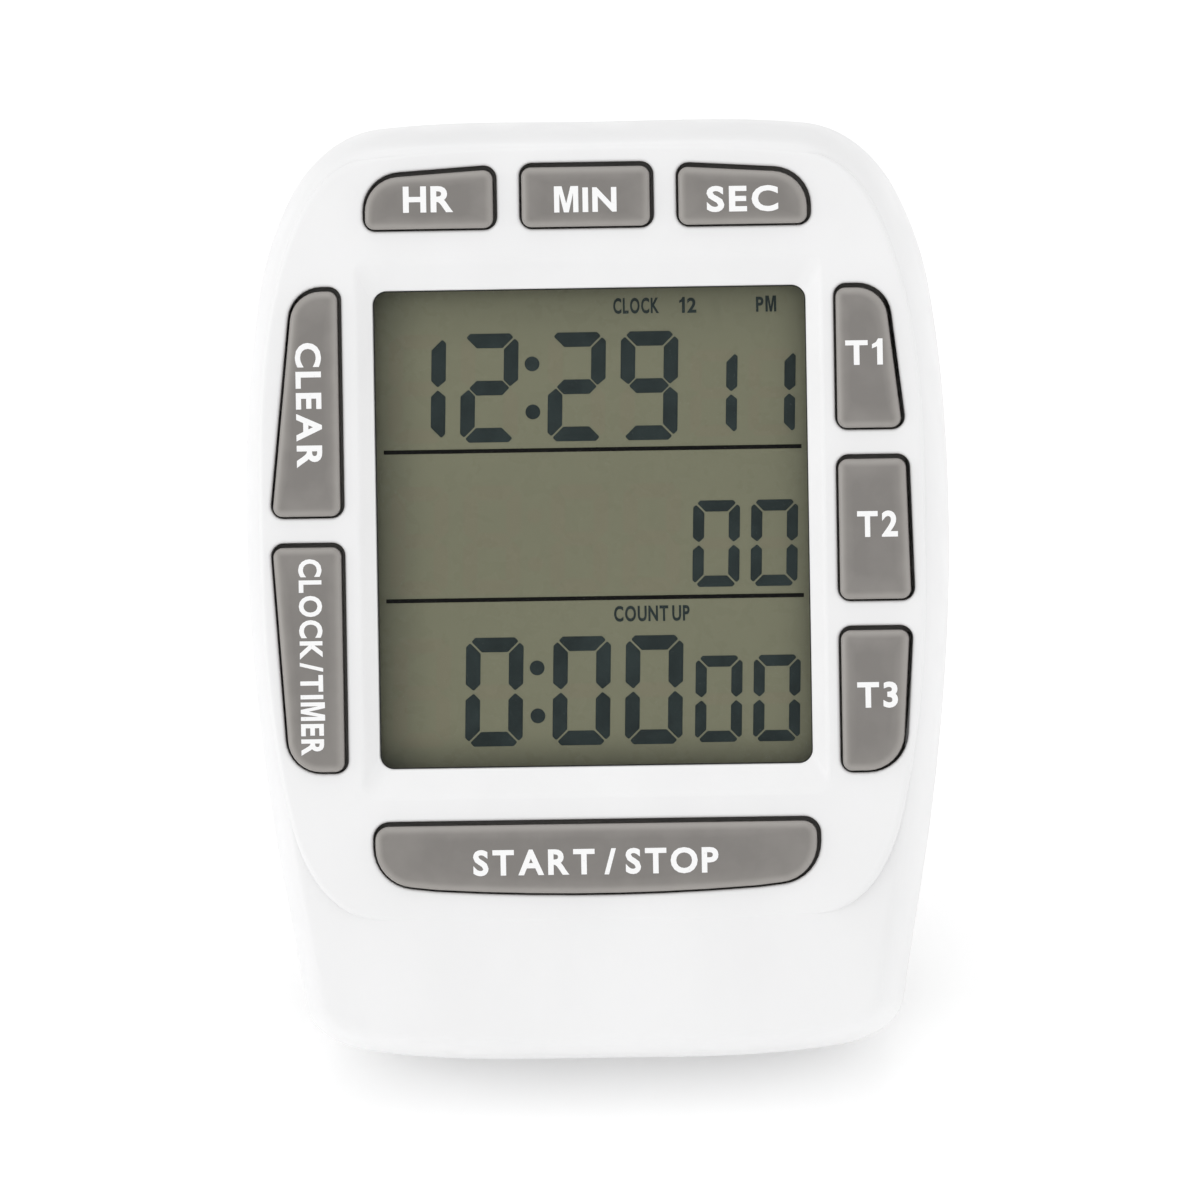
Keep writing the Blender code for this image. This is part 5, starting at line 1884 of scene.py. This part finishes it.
    @staticmethod
    def _film(outlines: Sequence[Outline], ground: float, thick: float) -> bmesh.types.BMesh:
        """Thin solids on the cell's front.

        Args:
            outlines: their outlines.
            ground: depth of the cell's front.
            thick: how far they stand forward of it.

        Returns:
            The solids as one mesh.
        """
        return Solids.gathered(
            Solids.prism(outline, ground - thick, ground + 0.01) for outline in outlines
        )


# ---------------------------------------------------------------- rear cover


@dataclass
class RearCover:
    """The rear shell: locating lip, battery bay, stand pocket, screw wells and sound holes."""

    form: CaseForm
    round: float = 2.8
    draft: float = 0.9
    bay_z: float = 14.0
    bay_half_length: float = 25.7
    bay_half_height: float = 5.65
    bay_outside: float = 7.6
    bay_floor: float = -0.15
    door_half_length: float = 23.7
    door_half_height: float = 6.5
    door_thick: float = 1.4
    door_pivot: tuple[float, float] = (12.1, 8.4)
    stand_pivot: tuple[float, float] = (11.5, -8.0)
    pocket_half: float = 15.3
    pocket_floor: float = 9.5
    pocket_top: float = -5.985
    pocket_bottom: float = -40.2
    stand_bore: float = 1.05
    stand_bore_depth: float = 1.3
    thumb_round: float = 5.0
    sounder_z: float = 31.6
    sounder_cup: float = 9.0
    sounder_seat: float = 8.3
    sound_hole: float = 0.7
    sound_ring: float = 2.6
    magnet_x: float = 15.6
    magnet_cup: float = 5.5
    magnet_seat: float = 4.8
    screw_post: float = 2.9
    screw_well: float = 2.2
    screw_shank: float = 1.3

    def build(self, shop: Workshop) -> None:
        """Builds the shell.

        Args:
            shop: where the piece is made.
        """
        outline = self.form.case_outline()
        profile = [(self.form.seam, 0.0), (2.0, 0.06), (4.0, 0.18), (6.0, 0.35), (8.2, 0.6)]
        start = self.form.back - self.round
        for step in range(9):
            turn = math.radians(90.0 * step / 8)
            profile.append(
                (
                    start + self.round * math.sin(turn),
                    self.draft + self.round * (1 - math.cos(turn)),
                )
            )
        carving = Carving(Solids.loft([outline.grown(-inset).ring(y) for y, inset in profile]))
        self._hollow(carving)
        self._cut_bay(carving)
        self._cut_pocket(carving)
        self._cut_round_features(carving)
        shop.piece(
            "rear_shell",
            carving.finished(),
            "white",
            replaces=["rear_cover"],
            slot="white_plastic",
            crease=32.0,
        )

    def _hollow(self, carving: Carving) -> None:
        """The lip, the cavity and the walls that grow from the back.

        Args:
            carving: the shell.
        """
        form = self.form
        outline = form.case_outline(6)
        wall = form.wall
        carving.add(Solids.prism(outline.grown(-wall - GAP), -1.0, form.seam + 0.4))
        inner = form.back - wall
        hollow = [
            (-2.0, wall + GAP + 0.8),
            (2.0, wall + GAP + 0.8),
            (2.5, wall + 0.18),
            (form.back - self.round, self.draft + wall),
            (inner, self.draft + wall + 0.8),
        ]
        carving.cut(Solids.loft([outline.grown(-inset).ring(y) for y, inset in hollow]))
        reach = inner + 0.4
        end = self.bay_half_length + 1.2
        low, high = self.bay_z - self.bay_outside, self.bay_z + self.bay_outside
        carving.add(Solids.box(-end, end, self.bay_floor, reach, low, high))
        side = self.pocket_half + 2.5
        carving.add(
            Solids.box(
                -side,
                side,
                self.pocket_floor - 1.2,
                reach,
                self.pocket_bottom - 1.2,
                self.pocket_top + 1.2,
            )
        )
        cups = [
            Solids.prism(
                Outline.disc(x, self.sounder_z, self.magnet_cup), form.back - 3.3, reach
            )
            for x in (-self.magnet_x, self.magnet_x)
        ]
        sounder = Outline.disc(0.0, self.sounder_z, self.sounder_cup)
        cups.append(Solids.prism(sounder, 9.7, reach))
        carving.add(Solids.gathered(cups))
        carving.add(
            Solids.gathered(
                Solids.prism(Outline.disc(x, z, self.screw_post), form.seam, reach)
                for x, z in form.case_screws()
            )
        )

    def _mouth(self, outline: Outline, edge: float = 0.3) -> list[Ring]:
        """Rings of a cutter that rounds an opening's edge in the back.

        Args:
            outline: the opening.
            edge: how far its edge is rounded.

        Returns:
            The rings, from outside in.
        """
        back = self.form.back
        rings = [outline.grown(edge + 0.25).ring(back + 0.03)]
        for step in range(5):
            turn = math.radians(90.0 * step / 4)
            reach = edge * (1 - math.sin(turn))
            rings.append(outline.grown(reach).ring(back - edge * (1 - math.cos(turn)) - 0.004))
        return rings

    def _cut_bay(self, carving: Carving) -> None:
        """The battery's room, the door's seat and its pivots.

        Args:
            carving: the shell.
        """
        form, half = self.form, self.bay_half_height
        inner = form.back - form.wall
        low, high = self.bay_z - half, self.bay_z + half
        carving.cut(
            Solids.box(
                -self.bay_half_length,
                self.bay_half_length,
                self.bay_floor + 0.8,
                inner,
                low,
                high,
            )
        )
        mouth = self.door_half_length + GAP
        carving.cut(Solids.box(-mouth, mouth, inner - 1.0, form.back + PAST, low, high))
        seat = Outline.slab(
            -mouth,
            mouth,
            self.bay_z - self.door_half_height - GAP,
            self.bay_z + self.door_half_height + GAP,
            0.25,
            3,
        )
        rings = self._mouth(seat, 0.2)
        rings.append(seat.ring(form.back - self.door_thick - GAP))
        carving.cut(Solids.loft(rings))
        y, z = self.door_pivot
        for reach, radius in ((mouth, 1.2), (mouth + 1.0, 0.6)):
            carving.cut(Solids.moved(Solids.rod(-reach, reach, radius), 0.0, y, z))

    def _cut_pocket(self, carving: Carving) -> None:
        """The stand's pocket, its pivots and the thumb notch.

        Args:
            carving: the shell.
        """
        form = self.form
        pocket = Outline.slab(
            -self.pocket_half, self.pocket_half, self.pocket_bottom, self.pocket_top, 0.25, 3
        )
        rings = self._mouth(pocket, 0.2)
        rings.append(pocket.ring(self.pocket_floor))
        carving.cut(Solids.loft(rings))
        y, z = self.stand_pivot
        reach = self.pocket_half + self.stand_bore_depth
        carving.cut(Solids.moved(Solids.rod(-reach, reach, self.stand_bore), 0.0, y, z))
        thumb = Outline.disc(0.0, self.pocket_bottom + 1.5, self.thumb_round)
        rings = self._mouth(thumb, 0.25)
        rings.append(thumb.grown(-0.15).ring(form.back - 0.9))
        rings.append(thumb.grown(-0.5).ring(form.back - 1.2))
        carving.cut(Solids.loft(rings))

    def _cut_round_features(self, carving: Carving) -> None:
        """Screw wells, shank holes, magnet seats, the sounder's seat and the sound holes.

        Args:
            carving: the shell.
        """
        form = self.form
        wells = []
        for x, z in form.case_screws():
            well = Outline.disc(x, z, self.screw_well)
            wells.append(Solids.loft(self._mouth(well) + [well.ring(2.7)]))
        carving.cut(Solids.gathered(wells))
        carving.cut(
            Solids.gathered(
                Solids.prism(Outline.disc(x, z, self.screw_shank, 24), -PAST, 3.7)
                for x, z in form.case_screws()
            )
        )
        seats = []
        for x in (-self.magnet_x, self.magnet_x):
            seat = Outline.disc(x, self.sounder_z, self.magnet_seat)
            seats.append(Solids.loft(self._mouth(seat, 0.2) + [seat.ring(form.back - 2.1)]))
        inner = form.back - form.wall
        sounder = Outline.disc(0.0, self.sounder_z, self.sounder_seat)
        seats.append(Solids.prism(sounder, 9.4, inner - 0.05))
        carving.cut(Solids.gathered(seats))
        holes = []
        places = [(0.0, 0.0), *Outline.disc(0.0, 0.0, self.sound_ring, 6).points]
        for x, z in places:
            hole = Outline.disc(x, self.sounder_z + z, self.sound_hole, 24)
            holes.append(Solids.loft(self._mouth(hole, 0.15) + [hole.ring(inner - PAST)]))
        carving.cut(Solids.gathered(holes))


# ---------------------------------------------------------------- battery door and battery


@dataclass
class PowerBay:
    """The battery door with its grip ribs, and the battery behind it."""

    cover: RearCover
    pivot_round: float = 0.9
    pin_round: float = 0.45
    pin_out: float = 1.0
    edge: float = 0.3
    grooves: int = 5
    groove_pitch: float = 0.95
    cell_half: float = 22.25
    cell_round: float = 5.25
    can_round: float = 5.0
    nub_round: float = 1.9
    cell_x: float = 1.95
    cell_y: float = 6.2
    band_start: float = 12.0

    def build(self, shop: Workshop) -> None:
        """Builds the door and the battery.

        Args:
            shop: where the pieces are made.
        """
        self._build_door(shop)
        self._build_battery(shop)
        shop.dress("nickel", "battery_spring", "battery_contact_negative")
        shop.dress("nickel", "battery_contact_positive")

    def _build_door(self, shop: Workshop) -> None:
        """The door, rounded about its pins at the lower edge.

        Args:
            shop: where the piece is made.
        """
        cover = self.cover
        pivot_y, pivot_z = cover.door_pivot
        inner = cover.form.back - cover.door_thick - pivot_y
        high = 2 * cover.door_half_height - self.pivot_round
        outer = self.pivot_round
        last = math.acos(inner / outer)
        profile = [
            (outer * math.cos(-last * step / 16), outer * math.sin(-last * step / 16))
            for step in range(17)
        ]
        profile.append((inner, high))
        for step in range(5):
            turn = math.radians(90.0 * step / 4)
            profile.append(
                (
                    outer - self.edge + self.edge * math.sin(turn),
                    high - self.edge + self.edge * math.cos(turn),
                )
            )
        length, soft = cover.door_half_length, 0.2
        centre = Vector((0.2, high / 2))
        rings = []
        ends = [(-length, soft), (-length + soft, 0.0), (length - soft, 0.0), (length, soft)]
        for x, shrink in ends:
            ring = []
            for y, z in profile:
                pull = Vector((y, z)) - centre
                factor = 1 - shrink / max(pull.length, 1.0)
                ring.append((x, centre.x + pull.x * factor, centre.y + pull.y * factor))
            rings.append(ring)
        door = Carving(Solids.loft(rings))
        end = length + self.pin_out
        door.add(Solids.rod(-end, end, self.pin_round, 32))
        cutters = []
        for step in range(self.grooves):
            z = high - 2.0 - self.groove_pitch * step
            reach = 6.0 - 0.45 * step
            groove = Outline.slab(-reach, reach, z - 0.22, z + 0.22, 0.2, 4)
            mouth = groove.grown(0.12).ring(outer + 0.1)
            cutters.append(Solids.loft([mouth, groove.ring(outer), groove.ring(outer - 0.35)]))
        door.cut(Solids.gathered(cutters))
        mesh = Solids.moved(door.finished(), 0.0, pivot_y, pivot_z)
        shop.piece(
            "battery_hatch",
            mesh,
            "white",
            body="battery_door",
            replaces=["battery_door"],
            slot="white_plastic",
            crease=35.0,
        )

    def _build_battery(self, shop: Workshop) -> None:
        """The round cell: sleeve, coloured band and steel ends.

        Args:
            shop: where the pieces are made.
        """
        half, radius, nub, can = self.cell_half, self.cell_round, self.nub_round, self.can_round
        x, y, z = self.cell_x, self.cell_y, self.cover.bay_z
        body_end = half - 0.8
        core = [
            (-half, 0.0),
            (-half, 3.4),
            (-half + 0.15, 4.3),
            (-half + 0.4, can),
            (body_end - 0.4, can),
            (body_end - 0.1, 4.2),
            (body_end, 3.2),
            (body_end + 0.05, nub),
            (half - 0.1, nub),
            (half, nub - 0.15),
            (half, 0.0),
        ]
        shop.piece(
            "battery_can",
            Solids.moved(Solids.turned(core), x, y, z),
            "nickel",
            replaces=["battery_cell"],
            slot="battery_sleeve",
        )
        for name, low, high, finish in (
            ("battery_sleeve", -half + 0.15, self.band_start, "sleeve"),
            ("battery_band", self.band_start + 0.05, body_end - 0.15, "band"),
        ):
            inward = high <= self.band_start
            profile = [
                (low, 0.0),
                (low, 4.6),
                (low + 0.15, radius - 0.1),
                (low + 0.4 if low < 0 else low + 0.02, radius),
                (high - 0.02 if inward else high - 0.4, radius),
                (high, radius - 0.1 if inward else 4.6),
                (high, 0.0),
            ]
            tube = Carving(Solids.turned(profile))
            tube.cut(Solids.rod(low - PAST, high + PAST, self.can_round + 0.03))
            sleeve = Solids.moved(tube.finished(), x, y, z)
            shop.piece(name, sleeve, finish, slot="battery_sleeve")


# ---------------------------------------------------------------- stand and magnets


@dataclass
class TiltStand:
    """The fold-out stand: a tapered leg with soft edges and a hollowed back."""

    cover: RearCover
    width: float = 30.0
    taper: float = 0.13
    thick: float = 2.4
    length: float = 30.5
    heel: float = 1.225
    sole: float = 0.9
    open_angle: float = 38.0
    lean: float = 27.3887
    pin_round: float = 0.9
    pin_out: float = 1.3

    def build(self, shop: Workshop) -> None:
        """Builds the stand in its opened place.

        Args:
            shop: where the piece is made.
        """
        half = self.thick / 2
        turn = math.radians(self.open_angle - self.lean)
        down = Vector((math.sin(-turn), -math.cos(turn)))
        foot = Vector((0.0, -self.length))
        profile = [(-half, self.heel), (half, self.heel)]
        for step in range(25):
            angle = math.pi * step / 24
            point = foot + Vector((math.cos(angle), -math.sin(angle))) * half
            below = (point - foot).dot(down) - self.sole
            if below > 0:
                point -= down * below
            profile.append(tuple(point))
        wide, soft = self.width / 2, 0.35
        rings = []
        steps = ((0.0, 1.0), (0.08, 0.6), (0.35, 0.2), (1.0, 0.0))
        sides = [(-wide + soft * out, pull * soft) for out, pull in steps]
        sides += [(-x, pull) for x, pull in reversed(sides)]
        for x, pull in sides:
            ring = []
            for y, z in profile:
                inward = -math.copysign(min(abs(y), pull), y)
                ring.append((x, y + inward, z))
            rings.append(ring)
        stand = Carving(Solids.loft(rings))
        panel = Outline.slab(-wide + 3.0, wide - 3.0, -self.length + 5.0, -4.0, 1.5)
        hollow = [
            panel.grown(0.5).ring(half + 0.1),
            panel.grown(0.12).ring(half - 0.08),
            panel.ring(half - 0.3),
            panel.grown(-0.25).ring(half - 0.6),
            panel.grown(-0.6).ring(half - 0.7),
        ]
        stand.cut(Solids.loft(hollow))
        shaped = stand.finished()
        for vert in shaped.verts:
            vert.co.x *= 1 + self.taper * min(0.0, vert.co.z) / self.length
        stand = Carving(shaped)
        end = wide + self.pin_out
        stand.add(Solids.rod(-end, end, self.pin_round, 32))
        mesh = stand.finished()
        swing = Matrix.Rotation(math.radians(self.open_angle), 3, "X")
        bmesh.ops.rotate(mesh, verts=mesh.verts, cent=ORIGIN, matrix=swing)
        y, z = self.cover.stand_pivot
        shop.piece(
            "tilt_stand_leg",
            Solids.moved(mesh, 0.0, y, z),
            "white",
            body="tilt_stand",
            replaces=["tilt_stand"],
            slot="white_plastic",
            crease=35.0,
        )


@dataclass
class Magnets:
    """Two round ferrite magnets that stand a little proud of the back."""

    cover: RearCover
    radius: float = 4.5
    thick: float = 1.8
    proud: float = 0.2

    def build(self, shop: Workshop) -> None:
        """Builds both magnets.

        Args:
            shop: where the pieces are made.
        """
        cover = self.cover
        back = cover.form.back + self.proud
        for name, side in (("magnet_left", -1), ("magnet_right", 1)):
            outline = Outline.disc(side * cover.magnet_x, cover.sounder_z, self.radius)
            rings = [
                outline.ring(back - self.thick),
                outline.ring(back - 0.25),
                outline.grown(-0.03).ring(back - 0.12),
                outline.grown(-0.1).ring(back - 0.03),
                outline.grown(-0.22).ring(back),
            ]
            shop.piece(
                f"{name}_disc", Solids.loft(rings), "ferrite", replaces=[name], slot="ferrite"
            )


# ---------------------------------------------------------------- inner parts and studio


class InnerParts:
    """Finishes for the CAD nodes inside the case, whose shapes stay as they are."""

    PLAN = (
        ("foil", ("lcd_reflector",)),
        ("holder", ("lcd_frame",)),
        ("strip", ("contact_strip_upper", "contact_strip_lower")),
        ("silicone", ("keypad_sheet",)),
        ("board", ("main_board",)),
        ("epoxy", ("controller_cap",)),
        ("steel", ("clock_crystal", "board_screw_1", "board_screw_2")),
        ("steel", tuple(f"case_screw_{index}" for index in range(1, 5))),
        ("brass", ("sounder_disc",)),
        ("ceramic", ("sounder_ceramic",)),
        ("black_wire", ("battery_lead_negative", "sounder_lead_ground")),
        ("red_wire", ("battery_lead_positive", "sounder_lead_signal")),
    )

    def build(self, shop: Workshop) -> None:
        """Dresses the nodes.

        Args:
            shop: where the finishes are kept.
        """
        for finish, nodes in self.PLAN:
            shop.dress(finish, *nodes)


@dataclass
class Studio:
    """Pale floor, soft light and the camera in front of the face."""

    axes: CaseAxes
    distance: float = 2500.0
    frame_width: float = 112.3
    sensor: float = 36.0
    aim_x: float = 0.66
    aim_z: float = -0.75
    aim_y: float = -10.2
    roll: float = 0.95
    from_right: float = 3.1
    from_above: float = 1.2
    floor_half: float = 6.0
    paper_glow: float = 0.19
    ambient: float = 0.815
    lamps: tuple[tuple[str, tuple[float, float, float], float, float], ...] = (
        ("left_softbox", (-1.3, -0.45, 0.35), 0.9, 3.3),
        ("right_softbox", (1.3, -0.45, 0.35), 0.9, 1.0),
        ("top_softbox", (0.0, 0.1, 1.45), 0.9, 2.36),
        ("front_softbox", (0.0, -0.75, 1.2), 0.8, 1.31),
    )

    def build(self) -> None:
        """Builds the set."""
        self._build_floor()
        self._build_light()
        self._build_camera()

    def _build_floor(self) -> None:
        """A wide pale floor under the object."""
        mesh = bmesh.new()
        bmesh.ops.create_grid(mesh, x_segments=2, y_segments=2, size=self.floor_half)
        data = bpy.data.meshes.new("studio_floor")
        mesh.to_mesh(data)
        mesh.free()
        shading = Shading("studio_paper", (0.93, 0.93, 0.93), 0.8)
        fibre = shading.noise(6.0, 4.0)
        shading.feed("Base Color", shading.blend(fibre, (0.92, 0.92, 0.92), (0.94, 0.94, 0.94)))
        shading.shader.inputs["Specular IOR Level"].default_value = 0.1
        shading.shader.inputs["Emission Color"].default_value = (1.0, 1.0, 1.0, 1.0)
        shading.shader.inputs["Emission Strength"].default_value = self.paper_glow
        data.materials.append(shading.material)
        floor = bpy.data.objects.new("studio_floor", data)
        bpy.context.scene.collection.objects.link(floor)

    def _build_light(self) -> None:
        """White surroundings and four soft boxes."""
        scene = bpy.context.scene
        scene.view_settings.view_transform = "Standard"
        world = bpy.data.worlds.new("studio")
        world.use_nodes = True
        background = world.node_tree.nodes["Background"]
        background.inputs["Color"].default_value = (1.0, 1.0, 1.0, 1.0)
        background.inputs["Strength"].default_value = self.ambient
        scene.world = world
        target = self.axes.point(0.0, 0.0, 0.0)
        for name, place, size, power in self.lamps:
            lamp = bpy.data.lights.new(name, "AREA")
            lamp.shape = "SQUARE"
            lamp.size = size
            lamp.energy = power
            made = bpy.data.objects.new(name, lamp)
            made.location = place
            aim = target - Vector(place)
            made.rotation_euler = aim.to_track_quat("-Z", "Y").to_euler()
            scene.collection.objects.link(made)

    def _build_camera(self) -> None:
        """The camera, a little to the right of square to the face and a little above."""
        lens = bpy.data.cameras.new("camera")
        lens.sensor_width = self.sensor
        lens.lens = self.sensor * self.distance / self.frame_width
        lens.clip_start = 0.01
        lens.clip_end = 100.0
        made = bpy.data.objects.new("camera", lens)
        square = self.axes.turn @ Matrix.Rotation(math.radians(90.0), 4, "X")
        round_face = Matrix.Rotation(math.radians(self.from_right), 4, "Y")
        over_face = Matrix.Rotation(math.radians(-self.from_above), 4, "X")
        roll = Matrix.Rotation(math.radians(-self.roll), 4, "Z")
        spin = square @ round_face @ over_face @ roll
        aim = self.axes.point(self.aim_x, self.aim_y, self.aim_z)
        made.matrix_world = Matrix.Translation(aim) @ spin @ Matrix.Translation(
            (0.0, 0.0, self.distance * MM)
        )
        bpy.context.scene.collection.objects.link(made)
        bpy.context.scene.camera = made


def main() -> None:
    """Builds the timer round the frame, then the studio round the timer."""
    logging.basicConfig(level=logging.INFO, format="%(name)s %(message)s")
    form = CaseForm()
    cover = RearCover(form)
    y, z = cover.stand_pivot
    axes = CaseAxes(frame["joints"], (0.0, y, z))
    shop = Workshop(axes)
    for assembly in (
        FrontCase(form),
        KeySet(form),
        Display(form),
        cover,
        PowerBay(cover),
        TiltStand(cover),
        Magnets(cover),
        InnerParts(),
    ):
        assembly.build(shop)
        LOG.info("%s built", type(assembly).__name__)
    Studio(axes).build()


if __name__ == "__main__":
    main()
